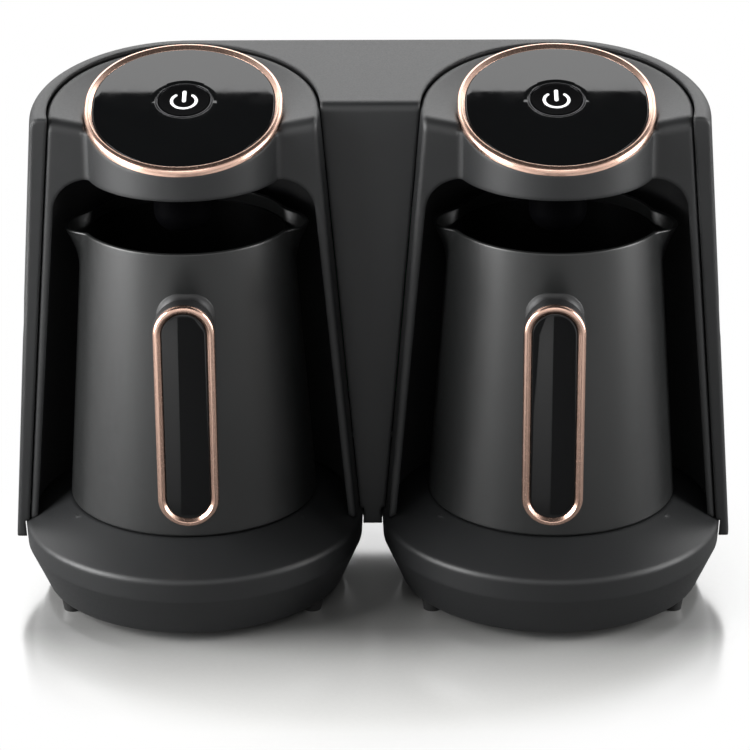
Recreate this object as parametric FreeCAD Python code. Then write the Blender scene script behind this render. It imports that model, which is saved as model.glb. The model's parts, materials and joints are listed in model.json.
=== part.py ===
import FreeCAD, Part
import math
import os

# Twin electric coffee maker with two pots, each in its own round bay under a slanted head.
# Millimetres. X runs to the viewer's right, Y away from the viewer, Z up from the table.
# A unit is drawn about its pot's upright axis, then set left and right of the middle.

# Whole machine
unit_spacing = 150.0
foot_height = 5.0

# Outer housing, a cone about each pot axis, joined by flat stretches front and back
housing_foot_z = 25.0
housing_foot_radius = 75.0
housing_top_radius = 61.5
housing_wall = 2.2
housing_front = 12.5
deck_height = 209.9
deck_slope = 10.0
deck_edge_round = 4.0
rim_edge_round = 1.2
spine_recess = 12.5

# Front fascia and pot bay, cones inside the housing
rim_foot_width = 5.0
rim_top_width = 7.0
seam = 0.4
fascia_wall = 1.6
fascia_return_depth = 18.0
fascia_collar_height = 34.0
shoulder_step = 0.5
shoulder_slope = 11.0
shoulder_round = 5.5
fascia_edge_round = 2.0
head_fillet = 3.0
bay_lip_foot = 3.0
bay_lip_top = 3.7
bay_back_inset = 18.0
bay_corner_round = 14.0
liner_wall = 1.2

# Head and its slanted control panel
head_radius = 40.1
head_floor_drop = 27.4
head_back = 41.1
head_back_radius = 44.0
head_corner_radius = 36.0
panel_drop = 0.3
panel_slope = 19.2
ring_width = 3.3
panel_sink = 0.8
panel_thickness = 2.0
panel_ledge = 5.5
underside_thickness = 1.8

# Power button, measured in the plane of the panel
button_offset = 4.4
button_radius = 10.4
button_travel = 1.0
button_flange = 1.9
button_flange_thickness = 1.0
bezel_width = 1.0
button_gap = 0.2
stem_radius = 3.0
stem_length = 1.4
plunger_radius = 1.6
plunger_length = 2.8
plunger_clearance = 0.1
bezel_clearance = 0.05
switch_width = 9.0
board_depth = 9.5
board_thickness = 1.6
board_width = 52.0
board_length = 40.0
board_post_radius = 2.5
board_post_inset = 4.0
board_part_height = 4.0
board_part_inset = 6.0
buzzer_radius = 5.0
driver_width = 9.0
driver_length = 12.0

# Foam sensor under the head
sensor_radius = 11.5
sensor_offset = 20.0
sensor_clearance = 0.5
sensor_dome_round = 8.0
sensor_flange = 2.5
sensor_flange_thickness = 1.5

# Base
base_gap = 1.8
base_foot_radius = 63.0
base_band_z = 22.0
base_band_inset = 0.5
base_edge_z = 31.5
base_wall = 2.2
base_edge_round = 2.2
seat_z = 42.2
seat_margin = 0.4
base_post_radius = 3.6
base_post_circle = 51.0
base_post_angles = [90, 210, 330]
foot_radius = 4.5
foot_taper = 0.8
foot_circle = 58.3
front_foot_angle = 31.0
rear_foot_angle = 38.0
foot_stem_radius = 2.0
foot_stem_length = 4.0
bottom_plate_thickness = 2.2
plate_gap = 0.3
push_clearance = 0.1

# Low coupling between base and pot
boss_radius = 12.0
boss_height = 0.7
boss_flange = 5.0
boss_flange_thickness = 2.0
boss_depth = 10.0
pin_radius = 1.2
pin_proud = 0.2
pin_tail = 2.0
pin_circles = [0.0, 5.0, 9.0]
pin_gap = 0.3
contact_ring_width = 2.4
contact_ring_thickness = 0.8

# Pot
pot_back_gap = 5.5
pot_rim_radius = 42.9
pot_rim_room = 21.0
pot_wall = 1.8
pot_foot_round = 1.2
pot_rest_gap = 0.2
pot_climb = 2.0
pot_turn = 2.2
lip_reach = 7.1
lip_height = 15.0
lip_drop = 1.6
lip_drop_start = 34.0
lip_radius = 15.0
lip_root_radius = 8.9
liner_floor_z = 62.0
pot_liner_wall = 0.8
pot_liner_radius = 41.0
pot_liner_flange_thickness = 1.2
pot_liner_drop = 5.5
pot_bottom_thickness = 1.8
pot_connector_thickness = 3.6
pot_connector_flange = 2.5
heater_radius = 38.0
heater_height = 6.0
pot_fit = 0.3

# Pot handle, a standing bar with round ends
handle_width = 24.4
handle_length = 94.0
handle_drop = 10.9
handle_reach = 72.5
handle_depth = 11.5
handle_trim_width = 3.3
handle_trim_depth = 2.4
handle_inlay_sink = 0.7
handle_inlay_gap = 0.1
handle_bridge_width = 21.0
handle_bridge_drop = 6.5
handle_bridge_height = 16.0
handle_bridge_round = 7.5
handle_bridge_foot_round = 3.0
handle_fillet = 4.0
handle_screw_head_height = 1.0
handle_screw_gap = 2.0
handle_screw_bite = 3.0

# Fasteners and what sits behind the bays
screw_radius = 1.4
screw_head_radius = 2.8
screw_head_height = 1.8
screw_length = 9.0
screw_socket_depth = 1.0
pilot_clearance = 0.05
board_screw_radius = 0.7
board_screw_head_height = 1.2
board_screw_length = 4.5
board_pilot_depth = 5.0
tie_post_spread = 22.0
tie_post_radius = 4.0
tie_post_inset = 12.5
tie_plate_z = 39.3
tie_plate_thickness = 2.2
tie_plate_depth = 8.0
floor_thickness = 2.2
floor_half_width = 46.0
floor_screw_length = 22.0
floor_screw_tip_room = 1.0
housing_post_height = 10.0
power_board_width = 62.0
power_board_height = 84.0
power_board_z = 62.0
power_board_standoff = 6.0
capacitor_radius = 6.0
capacitor_length = 12.0
capacitor_x = -10.0
capacitor_height = 60.0
relay_x = 4.0
relay_width = 18.0
relay_depth = 10.0
relay_height = 48.0
relay_length = 22.0
fuse_x = -20.0
fuse_width = 20.0
fuse_depth = 6.0
fuse_height = 20.0
fuse_length = 7.0
gland_radius = 7.0
gland_bore_radius = 3.4
gland_flange = 2.4
gland_flange_thickness = 2.0
gland_length = 10.0
gland_proud = 1.5
gland_z = 52.0

# Worked out from the sizes above
half_spacing = unit_spacing / 2
far = 400.0
head_floor_z = deck_height - head_floor_drop
panel_height = deck_height - panel_drop
bay_depth = housing_foot_radius - bay_back_inset
pot_foot_radius = bay_depth - pot_back_gap
pot_rim_z = head_floor_z - pot_rim_room
handle_top_z = pot_rim_z - handle_drop
bridge_top_z = handle_top_z - handle_bridge_drop
tie_post_reach = housing_foot_radius - tie_post_inset
plate_z = foot_height
base_radius = housing_foot_radius - housing_wall - base_gap
pot_foot_z = seat_z + pot_rest_gap
climb = math.tan(math.radians(pot_climb))
sensor_tip_z = pot_rim_z + climb * (pot_rim_radius + sensor_offset + sensor_radius) + sensor_clearance
boss_top_z = seat_z + boss_height
pin_top_z = boss_top_z + pin_proud
coupling_z = pin_top_z + pin_gap
ring_height = panel_sink + panel_thickness
fascia_foot_radius = housing_foot_radius - rim_foot_width
fascia_top_radius = housing_top_radius - rim_top_width
bay_foot_radius = fascia_foot_radius - bay_lip_foot
bay_top_radius = fascia_top_radius - bay_lip_top
pot_angle = math.radians(pot_turn)
handle_front = handle_reach * math.cos(pot_angle) + handle_width / 2 * math.sin(pot_angle)
axis_y = (max(handle_front, base_radius) - housing_foot_radius) / 2
sides = {"left": -half_spacing, "right": half_spacing}
Vec = FreeCAD.Vector

os.makedirs("parts", exist_ok=True)


# Shared shapes

def cylinder(radius, low, high, x=0.0, y=0.0):
    """Upright round bar."""
    return Part.makeCylinder(radius, high - low, Vec(x, y, low))


def tube(outer, inner, low, high, x=0.0, y=0.0):
    """Upright round pipe."""
    return cylinder(outer, low, high, x, y).cut(cylinder(inner, low, high, x, y))


def block(x0, x1, y0, y1, z0, z1):
    """Box between three pairs of limits."""
    return Part.makeBox(x1 - x0, y1 - y0, z1 - z0, Vec(x0, y0, z0))


def turned(points):
    """Solid of revolution about the pot axis from a closed outline of (radius, height)."""
    outline = Part.makePolygon([Vec(r, 0, z) for r, z in points + points[:1]])
    return Part.Face(outline).revolve(Vec(0, 0, 0), Vec(0, 0, 1), 360)


def above_slope(height, slope, offset=0.0):
    """Everything above a plane that rises towards the back; offset is measured square to it."""
    room = Part.makeBox(2 * far, 2 * far, far, Vec(-far, -far, offset))
    room.rotate(Vec(0, 0, 0), Vec(1, 0, 0), slope)
    room.translate(Vec(0, 0, height))
    return room


def panel_layer(low, high):
    """Slab parallel to the control panel between two depths below the trim ring's top."""
    slab = Part.makeBox(2 * far, 2 * far, low - high, Vec(-far, -far, -low))
    slab.rotate(Vec(0, 0, 0), Vec(1, 0, 0), panel_slope)
    slab.translate(Vec(0, 0, panel_height))
    return slab


def on_panel(shape):
    """Tilt a piece drawn about the button's axis with the trim ring's top as its zero."""
    shape.translate(Vec(0, button_offset, 0))
    shape.rotate(Vec(0, 0, 0), Vec(1, 0, 0), panel_slope)
    shape.translate(Vec(0, 0, panel_height))
    return shape


def cone_radius(foot, top, z):
    """Radius at a height on a cone named by its radius at the housing's foot and at the deck."""
    return foot + (top - foot) * (z - housing_foot_z) / (deck_height - housing_foot_z)


def bay_cone(foot, top, low, high):
    """Cone about one pot axis."""
    low_radius = cone_radius(foot, top, low)
    high_radius = cone_radius(foot, top, high)
    return Part.makeCone(low_radius, high_radius, high - low, Vec(0, 0, low))


def stadium(radius, z):
    """Outline round both pot axes: two half circles and two straight stretches."""
    x = half_spacing
    right = Part.Arc(Vec(x, -radius, z), Vec(x + radius, 0, z), Vec(x, radius, z)).toShape()
    back = Part.makeLine(Vec(x, radius, z), Vec(-x, radius, z))
    left = Part.Arc(Vec(-x, radius, z), Vec(-x - radius, 0, z), Vec(-x, -radius, z)).toShape()
    front = Part.makeLine(Vec(-x, -radius, z), Vec(x, -radius, z))
    return Part.Wire([right, back, left, front])


def stadium_cone(inset, low, high):
    """Outer housing's form, drawn in by a wall thickness."""
    rings = []
    for z in (low, high):
        rings.append(stadium(cone_radius(housing_foot_radius, housing_top_radius, z) - inset, z))
    return Part.makeLoft(rings, True, True)


def head_outline(inset, z):
    """Plan of the head: round in front, straight sides, round corners and a flat arc at the back."""
    width = head_radius - inset
    corner = head_corner_radius - inset
    back = head_back_radius - inset
    back_centre_y = head_back - head_back_radius
    corner_x = head_radius - head_corner_radius
    reach = head_back_radius - head_corner_radius
    corner_y = back_centre_y + math.sqrt(reach ** 2 - corner_x ** 2)
    full_turn = math.pi / 2 - math.atan2(corner_x, corner_y - back_centre_y)
    bisector = full_turn / 2

    def corner_point(angle, side):
        return Vec(side * (corner_x + corner * math.cos(angle)), corner_y + corner * math.sin(angle), z)

    front = Part.Arc(Vec(-width, 0, z), Vec(0, -width, z), Vec(width, 0, z)).toShape()
    right_side = Part.makeLine(Vec(width, 0, z), corner_point(0, 1))
    right_points = [corner_point(turn, 1) for turn in (0, bisector, full_turn)]
    right_corner = Part.Arc(*right_points).toShape()
    rear_middle = Vec(0, back_centre_y + back, z)
    rear = Part.Arc(corner_point(full_turn, 1), rear_middle, corner_point(full_turn, -1)).toShape()
    left_points = [corner_point(turn, -1) for turn in (full_turn, bisector, 0)]
    left_corner = Part.Arc(*left_points).toShape()
    left_side = Part.makeLine(corner_point(0, -1), Vec(-width, 0, z))
    return Part.Wire([front, right_side, right_corner, rear, left_corner, left_side])


def head_prism(inset, low=head_floor_z, high=deck_height + head_radius):
    """Upright bar with the head's plan."""
    return Part.Face(head_outline(inset, low)).extrude(Vec(0, 0, high - low))


def union(shapes):
    """One solid from several that meet."""
    return shapes[0].multiFuse(shapes[1:]).removeSplitter()


def group(shapes):
    """Several loose solids kept as one piece."""
    return Part.makeCompound(shapes)


def screw(x, y, head_z, up=True):
    """Pan head screw; its head lies below head_z, or above it when it points down."""
    way = 1 if up else -1
    head_low = head_z - screw_head_height if up else head_z
    shank_low = head_z if up else head_z - screw_length
    head = cylinder(screw_head_radius, head_low, head_low + screw_head_height, x, y)
    shank = cylinder(screw_radius, shank_low, shank_low + screw_length, x, y)
    socket_ends = [head_z - way * screw_head_height, head_z - way * (screw_head_height - screw_socket_depth)]
    socket = cylinder(screw_radius, min(socket_ends), max(socket_ends), x, y)
    return head.fuse(shank).cut(socket).removeSplitter()


def on_circle(radius, degrees):
    """Point on a circle about the pot axis, measured from the viewer's right."""
    return radius * math.cos(math.radians(degrees)), radius * math.sin(math.radians(degrees))


# Outer housing

def deck_edges(shape):
    """Edges where the deck meets the walls."""
    rise = math.tan(math.radians(deck_slope))
    found = []
    for edge in shape.Edges:
        heights = [v.Z - v.Y * rise for v in edge.Vertexes]
        if max(heights) - min(heights) < 0.01 and min(v.Z for v in edge.Vertexes) > head_floor_z:
            found.append(edge)
    return found


def plane_edges(shape, y, low, high):
    """Edges that lie wholly in an upright plane square to Y, between two heights."""
    found = []
    for edge in shape.Edges:
        points = edge.discretize(5)
        flat = all(abs(point.y - y) < 0.02 for point in points)
        if flat and all(low < point.z < high for point in points):
            found.append(edge)
    return found


def rear_housing():
    """Back, side walls, deck and centre spine in one moulding, open below and at both bays."""
    top = deck_height + housing_foot_radius
    outer = stadium_cone(0, housing_foot_z, top).cut(above_slope(deck_height, deck_slope))
    outer = outer.makeFillet(deck_edge_round, deck_edges(outer))
    inner = stadium_cone(housing_wall, 0, top)
    inner = inner.cut(above_slope(deck_height, deck_slope, -housing_wall))
    inner = inner.makeFillet(deck_edge_round - housing_wall, deck_edges(inner))
    front_room = block(-far, far, -far, -housing_front, -far, far)
    spine_front = spine_recess - housing_front
    spine_room = block(-half_spacing, half_spacing, -far, spine_front, -far, far)
    outer = outer.cut(front_room).cut(spine_room)
    outer = outer.makeFillet(deck_edge_round, plane_edges(outer, spine_front, head_floor_z, top))
    front_edges = plane_edges(outer, -housing_front, housing_foot_z - 1, top)
    rims = [e for e in front_edges if e.BoundBox.ZMax > head_floor_z and e.BoundBox.XLength > 0.01]
    outer = outer.makeFillet(rim_edge_round, rims)
    inner = inner.cut(block(-far, far, -far, housing_wall - housing_front, -far, far))
    inner = inner.cut(block(-half_spacing, half_spacing, -far, spine_front + housing_wall, -far, far))
    shell = outer.cut(inner)
    bay = bay_cone(fascia_foot_radius + seam, fascia_top_radius + seam, 0, top)
    foot = turned(base_profile(-seam))
    for x in sides.values():
        shell = shell.cut(bay.fuse(foot).translated(Vec(x, 0, 0)))
    shell = shell.cut(Part.makeCylinder(gland_radius, far, Vec(0, tie_post_reach, gland_z), Vec(0, 1, 0)))
    posts = [power_board_post(x, z) for x, z in power_board_points()]
    low = tie_plate_z + tie_plate_thickness
    high = low + housing_post_height
    half_web = housing_wall / 2
    web_back = back_wall_y(tie_plate_z) + half_web
    for x in housing_post_places():
        post = cylinder(tie_post_radius, low, high, x, tie_post_reach)
        web = block(x - half_web, x + half_web, tie_post_reach, web_back, low, high)
        pilot = cylinder(screw_radius + pilot_clearance, low, high - floor_screw_tip_room, x, tie_post_reach)
        posts.append(post.fuse(web).cut(pilot))
    return union([shell] + posts)


def back_wall_y(z):
    """Inner face of the back wall at a height."""
    return cone_radius(housing_foot_radius, housing_top_radius, z) - housing_wall


def power_board_back():
    """Face of the power board that rests on the housing's posts."""
    return back_wall_y(power_board_z + power_board_height) - power_board_standoff


def power_board_points():
    """X and height of the power board's four screws."""
    x = power_board_width / 2 - board_post_inset
    low = power_board_z + board_post_inset
    high = power_board_z + power_board_height - board_post_inset
    return [(-x, low), (x, low), (x, high), (-x, high)]


def power_board_post(x, z):
    """Post from the back wall to the power board, with a pilot hole."""
    start = Vec(x, power_board_back(), z)
    back = Vec(0, 1, 0)
    post = Part.makeCylinder(board_post_radius, back_wall_y(z) + housing_wall / 2 - start.y, start, back)
    return post.cut(Part.makeCylinder(board_screw_radius + pilot_clearance, board_pilot_depth, start, back))


# Fascia, bay liner and head

def shoulder_room(drop):
    """Everything above the dished shoulder, a shallow cone square to the deck."""
    slope = math.tan(math.radians(shoulder_slope))
    low_radius = fascia_top_radius / 2
    high_radius = fascia_top_radius * 1.5
    depth = (fascia_top_radius - low_radius) * slope
    dish = Part.makeCone(low_radius, high_radius, (high_radius - low_radius) * slope)
    dish.translate(Vec(0, 0, -shoulder_step - depth))
    lid = cylinder(far, dish.BoundBox.ZMax, far)
    room = dish.fuse(lid)
    room.translate(Vec(0, 0, -drop))
    room.rotate(Vec(0, 0, 0), Vec(1, 0, 0), deck_slope)
    room.translate(Vec(0, 0, deck_height))
    return room


def fascia_form(wall):
    """Drum and head together, drawn in by a wall thickness."""
    top = deck_height + head_radius
    drum = bay_cone(fascia_foot_radius - wall, fascia_top_radius - wall, housing_foot_z, top)
    drum = drum.cut(block(-far, far, -far, wall - housing_front, -far, far))
    drum = drum.cut(shoulder_room(wall))
    front_edges = plane_edges(drum, wall - housing_front, housing_foot_z + seam, top)
    level_edges = [e for e in front_edges if e.BoundBox.XLength > e.BoundBox.ZLength]
    drum = drum.makeFillet(shoulder_round - wall, level_edges)
    front_edges = plane_edges(drum, wall - housing_front, housing_foot_z - seam, top)
    upright_edges = [e for e in front_edges if e.BoundBox.ZLength > bay_depth]
    drum = drum.makeFillet(fascia_edge_round - wall, upright_edges)
    drum = drum.cut(head_prism(-seam).common(panel_layer(ring_height + wall, -far)))
    head = head_prism(wall, head_floor_z - wall).cut(panel_layer(ring_height + wall, -far))
    return drum.fuse(head)


def head_corner(side):
    """Hollow fillet that blends the head's side into the fascia's front."""
    centre_y = -housing_front - head_fillet
    centre_x = math.sqrt((head_radius + head_fillet) ** 2 - centre_y ** 2)
    share = head_radius / (head_radius + head_fillet)
    root = head_radius - head_fillet
    corners = [(root, -housing_front + fascia_wall / 2), (centre_x, -housing_front + fascia_wall / 2),
               (centre_x, centre_y), (centre_x * share, centre_y * share)]
    points = [Vec(side * x, y, head_floor_z) for x, y in corners]
    wedge = Part.Face(Part.makePolygon(points + points[:1])).extrude(Vec(0, 0, deck_height - head_floor_z))
    wedge = wedge.cut(cylinder(head_fillet, 0, far, side * centre_x, centre_y))
    return wedge.cut(panel_layer(ring_height, -far)).cut(shoulder_room(0))


def bay_room(grow):
    """Space of the pot bay: a cone with a round shoulder, flat at the back."""
    top = head_floor_z + grow
    room = bay_cone(bay_foot_radius + grow, bay_top_radius + grow, housing_foot_z, top)
    rim = [e for e in room.Edges if e.BoundBox.ZMin > top - 0.01]
    room = room.makeFillet(bay_corner_round + grow, rim)
    return room.common(block(-far, far, -far, bay_depth + grow, -far, far))


def base_profile(wall):
    """Outer face of the base as (radius, height) points, drawn in by a wall thickness."""
    fall = (base_edge_z - seat_z) / (base_radius - pot_foot_radius - seat_margin)
    thick = wall * math.sqrt(1 + fall ** 2)
    edge = base_radius - wall
    seat_edge = pot_foot_radius + seat_margin - (thick - wall) / abs(fall)
    edge_z = seat_z - wall + fall * (edge - seat_edge)
    return [(0, plate_z), (base_foot_radius - wall, plate_z), (edge - base_band_inset, base_band_z),
            (edge, edge_z), (seat_edge, seat_z - wall), (0, seat_z - wall)]


def fascia():
    """Front moulding of one unit: head, shoulder and the frame round the bay."""
    shell = fascia_form(0).cut(fascia_form(fascia_wall))
    shell = shell.multiFuse([head_corner(-1), head_corner(1)])
    shell = shell.cut(bay_room(0))
    shell = shell.cut(head_prism(panel_ledge))
    shell = shell.cut(turned(base_profile(-seam)))
    collar_low = deck_height - fascia_collar_height
    back_low = block(-far, far, fascia_return_depth - housing_front, far, -far, collar_low)
    return shell.cut(back_low).removeSplitter()


def bay_liner():
    """Thin dark wall of the pot bay."""
    shell = bay_room(liner_wall).cut(bay_room(0))
    shell = shell.cut(block(-far, far, -far, fascia_wall - housing_front, -far, far))
    shell = shell.cut(cylinder(head_radius - fascia_wall, head_floor_z - liner_wall, far))
    return shell.cut(turned(base_profile(-seam))).removeSplitter()


def head_underside():
    """Round cover that closes the head from below."""
    radius = head_radius - fascia_wall - plate_gap
    disc = cylinder(radius, head_floor_z, head_floor_z + underside_thickness)
    return disc.cut(cylinder(sensor_radius + plate_gap, 0, far, 0, -sensor_offset))


def foam_sensor():
    """Dome-ended boss that hangs through the head's underside."""
    top = head_floor_z + underside_thickness
    body = cylinder(sensor_radius, sensor_tip_z, top, 0, -sensor_offset)
    tip = [e for e in body.Edges if e.BoundBox.ZMax < sensor_tip_z + 0.01]
    body = body.makeFillet(sensor_dome_round, tip)
    flange = cylinder(sensor_radius + sensor_flange, top, top + sensor_flange_thickness, 0, -sensor_offset)
    return union([body, flange])


# Control panel and button

def trim_ring():
    """Raised band round the panel."""
    band = head_prism(0).cut(head_prism(ring_width))
    return band.common(panel_layer(ring_height, 0))


def board_points():
    """Corners of the control board in the plane of the panel, about the button."""
    x = board_width / 2 - board_post_inset
    y = board_length / 2 - board_post_inset
    return [(-x, -y), (x, -y), (x, y), (-x, y)]


def panel_opening():
    """Radius of the hole in the panel that the bezel fits."""
    return button_radius + button_gap + bezel_width


def control_panel():
    """Gloss plate with the button's hole and four posts for the board."""
    plate = head_prism(ring_width + plate_gap).common(panel_layer(ring_height, panel_sink))
    plate = plate.cut(on_panel(cylinder(panel_opening(), -far, far)))
    posts = []
    pilot_top = board_pilot_depth - board_depth
    for x, y in board_points():
        post = cylinder(board_post_radius, -board_depth, -ring_height, x, y)
        pilot = cylinder(board_screw_radius + pilot_clearance, -board_depth, pilot_top, x, y)
        posts.append(on_panel(post.cut(pilot)))
    return union([plate] + posts)


def button_bezel():
    """Thin ring that lines the panel's hole."""
    ring = tube(panel_opening() - bezel_clearance, button_radius + button_gap, -ring_height, -panel_sink)
    return on_panel(ring)


def button_cap():
    """Round cap with a flange that keeps it under the panel, and a stem."""
    flange_top = -ring_height - button_gap
    flange_low = flange_top - button_flange_thickness
    cap = cylinder(button_radius, flange_low, -panel_sink)
    flange = cylinder(button_radius + button_flange, flange_low, flange_top)
    stem = cylinder(stem_radius, flange_low - stem_length, flange_low)
    return on_panel(union([cap, flange, stem]))


def plunger_top():
    """Depth of the plunger's top, where the button's stem rests on it."""
    return -ring_height - button_gap - button_flange_thickness - stem_length


def switch_plunger():
    """Pin that the button presses into the switch."""
    return on_panel(cylinder(plunger_radius, plunger_top() - plunger_length, plunger_top()))


def switch_body():
    """Small square switch on the board with a bore for the plunger."""
    half = switch_width / 2
    top = plunger_top() - button_travel - button_gap
    body = block(-half, half, -half, half, -board_depth, top)
    return on_panel(body.cut(cylinder(plunger_radius + plunger_clearance, -board_depth, top)))


def control_board():
    """Circuit board with its buzzer and a driver chip."""
    low = -board_depth - board_thickness
    half_x = board_width / 2
    half_y = board_length / 2
    plate = block(-half_x, half_x, -half_y, half_y, low, -board_depth)
    for x, y in board_points():
        plate = plate.cut(cylinder(board_screw_radius + pilot_clearance, low, -board_depth, x, y))
    high = board_part_height - board_depth
    buzzer = cylinder(buzzer_radius, -board_depth, high, board_part_inset + buzzer_radius - half_x)
    edge = half_x - board_part_inset
    driver = block(edge - driver_width, edge, -driver_length / 2, driver_length / 2, -board_depth, high)
    return on_panel(group([plate, buzzer, driver]))


def board_screw():
    """Small screw that points up, with the underside of its head as its zero."""
    head = cylinder(board_post_radius, -board_screw_head_height, 0)
    return head.fuse(cylinder(board_screw_radius, 0, board_screw_length)).removeSplitter()


def control_board_screws():
    """Four small screws that hold the board to the panel's posts."""
    low = -board_depth - board_thickness
    return [on_panel(board_screw().translated(Vec(x, y, low))) for x, y in board_points()]


def power_board_screws():
    """Four small screws that hold the power board to the back wall's posts."""
    lying = board_screw().rotated(Vec(0, 0, 0), Vec(1, 0, 0), -90)
    front = power_board_back() - board_thickness
    return [lying.translated(Vec(x, front, z)) for x, z in power_board_points()]


# Base

def base_posts():
    """Where the three screw posts stand inside the base."""
    return [on_circle(base_post_circle, angle) for angle in base_post_angles]


def tie_points():
    """Where the two posts for the tie plate stand on the base, behind the bay."""
    return [(-tie_post_spread, tie_post_reach), (tie_post_spread, tie_post_reach)]


def base_shell():
    """Round foot of one unit with a flat seat and a cone-shaped top."""
    outer = turned(base_profile(0))
    above = [e for e in outer.Edges if e.BoundBox.ZMin > base_edge_z - 0.01]
    rim = [e for e in above if e.BoundBox.ZMax < seat_z - 0.01]
    outer = outer.makeFillet(base_edge_round, rim)
    inner = turned(base_profile(base_wall))
    shell = outer.cut(inner)
    shell = shell.cut(cylinder(boss_radius + plate_gap, plate_z, far))
    pieces = [shell]
    plate_top = plate_z + bottom_plate_thickness
    for x, y in base_posts():
        post = cylinder(base_post_radius, plate_top, seat_z - base_wall / 2, x, y)
        pilot = cylinder(screw_radius + pilot_clearance, plate_top, plate_top + screw_length, x, y)
        pieces.append(post.cut(pilot))
    for x, y in tie_points():
        post = cylinder(tie_post_radius, base_edge_z, tie_plate_z, x, y).cut(inner)
        pieces.append(post)
    shell = union(pieces)
    pilot_low = tie_plate_z - screw_length
    for x, y in tie_points():
        shell = shell.cut(cylinder(screw_radius + pilot_clearance, pilot_low, tie_plate_z, x, y))
    return shell


def foot_points():
    """Where the four feet of one unit stand."""
    angles = (180 + front_foot_angle, 360 - front_foot_angle, rear_foot_angle, 180 - rear_foot_angle)
    return [on_circle(foot_circle, angle) for angle in angles]


def bottom_plate():
    """Flat round cover under one base."""
    inner_foot = base_profile(base_wall)[1][0]
    disc = cylinder(inner_foot - plate_gap, plate_z, plate_z + bottom_plate_thickness)
    for x, y in base_posts():
        disc = disc.cut(cylinder(screw_radius + plate_gap, 0, far, x, y))
    for x, y in foot_points():
        disc = disc.cut(cylinder(foot_stem_radius + push_clearance, 0, far, x, y))
    return disc


def feet():
    """Four rubber feet with stems that plug into the bottom plate."""
    pieces = []
    for x, y in foot_points():
        pad = Part.makeCone(foot_radius - foot_taper, foot_radius, foot_height, Vec(x, y, 0))
        stem = cylinder(foot_stem_radius, foot_height, foot_height + foot_stem_length, x, y)
        pieces.append(pad.fuse(stem).removeSplitter())
    return pieces


def base_connector():
    """Low round boss with a flange under the seat."""
    flange_top = seat_z - base_wall
    boss = cylinder(boss_radius, boss_top_z - boss_depth, boss_top_z)
    flange = cylinder(boss_radius + boss_flange, flange_top - boss_flange_thickness, flange_top)
    body = union([boss, flange])
    for x in pin_circles:
        body = body.cut(cylinder(pin_radius + pilot_clearance, 0, far, x))
    return body


def contact_pins():
    """Three brass pins, one on the axis and two to its side."""
    low = boss_top_z - boss_depth - pin_tail
    return group([cylinder(pin_radius, low, pin_top_z, x) for x in pin_circles])


# Pot

def pot_radius(z):
    """Outer radius of the pot at a height."""
    return pot_foot_radius + (pot_rim_radius - pot_foot_radius) * (z - pot_foot_z) / (pot_rim_z - pot_foot_z)


def pot_cone(inset, low, high):
    """The pot's tapered form, drawn in by a wall thickness."""
    return Part.makeCone(pot_radius(low) - inset, pot_radius(high) - inset, high - low, Vec(0, 0, low))


def pouring_lip(side, inset):
    """Upright cone that swells out of the rim on one side."""
    low = pot_rim_z - lip_height
    centre = side * (pot_rim_radius + lip_reach - lip_radius)
    return Part.makeCone(lip_root_radius - inset, lip_radius - inset, lip_height, Vec(centre, 0, low))


def lip_room(side):
    """Everything above the rim where it dips towards a lip."""
    run = pot_rim_radius + lip_reach - lip_drop_start
    room = Part.makeBox(far, 2 * far, far, Vec(0, -far, 0))
    room.rotate(Vec(0, 0, 0), Vec(0, 1, 0), math.degrees(math.atan2(lip_drop, run)))
    if side < 0:
        room.rotate(Vec(0, 0, 0), Vec(0, 0, 1), 180)
    room.translate(Vec(side * lip_drop_start, 0, pot_rim_z))
    return room


def pot_form(inset, low):
    """Tapered body with both lips."""
    body = union([pot_cone(inset, low, pot_rim_z), pouring_lip(-1, inset), pouring_lip(1, inset)])
    return body.cut(lip_room(-1)).cut(lip_room(1))


def pot_shell():
    """Outer wall of the pot, open above and below."""
    outer = pot_form(0, pot_foot_z)
    foot = [e for e in outer.Edges if e.BoundBox.ZMax < pot_foot_z + 0.01]
    outer = outer.makeFillet(pot_foot_round, foot)
    lips = [pouring_lip(-1, pot_wall), pouring_lip(1, pot_wall)]
    shell = outer.cut(union([pot_cone(pot_wall, pot_foot_z, pot_rim_z)] + lips))
    for z in handle_screw_heights():
        shell = shell.cut(Part.makeCylinder(screw_radius + plate_gap, far, Vec(0, 0, z), Vec(0, -1, 0)))
    return shell


def pot_liner():
    """Inner vessel with a flange at the top that closes the gap to the outer wall."""
    top = pot_rim_z - pot_liner_drop
    vessel = tube(pot_liner_radius, pot_liner_radius - pot_liner_wall, liner_floor_z, top)
    floor = cylinder(pot_liner_radius, liner_floor_z - pot_liner_wall, liner_floor_z)
    disc = pot_cone(pot_wall + pot_fit, top - pot_liner_flange_thickness, top)
    lid = disc.cut(cylinder(pot_liner_radius - pot_liner_wall, 0, far))
    return union([vessel, floor, lid])


def heater():
    """Flat heating plate under the vessel."""
    top = liner_floor_z - pot_liner_wall
    return cylinder(heater_radius, top - heater_height, top)


def pot_bottom():
    """Cover inside the pot's skirt with a collar up to the heater and a bore for the contacts."""
    disc = pot_cone(pot_wall + pot_fit, coupling_z, coupling_z + pot_bottom_thickness)
    top = liner_floor_z - pot_liner_wall - heater_height
    collar = tube(heater_radius, heater_radius - pot_bottom_thickness, coupling_z, top)
    bore = cylinder(boss_radius + boss_flange + plate_gap, 0, far)
    return union([disc, collar]).cut(bore)


def pot_connector():
    """Disc under the pot that carries the contact rings."""
    radius = boss_radius + boss_flange
    top = coupling_z + pot_connector_thickness
    disc = cylinder(radius, coupling_z, top)
    disc = union([disc, cylinder(radius + pot_connector_flange, coupling_z + pot_bottom_thickness, top)])
    for ring in ring_spaces():
        disc = disc.cut(ring)
    return disc


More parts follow.
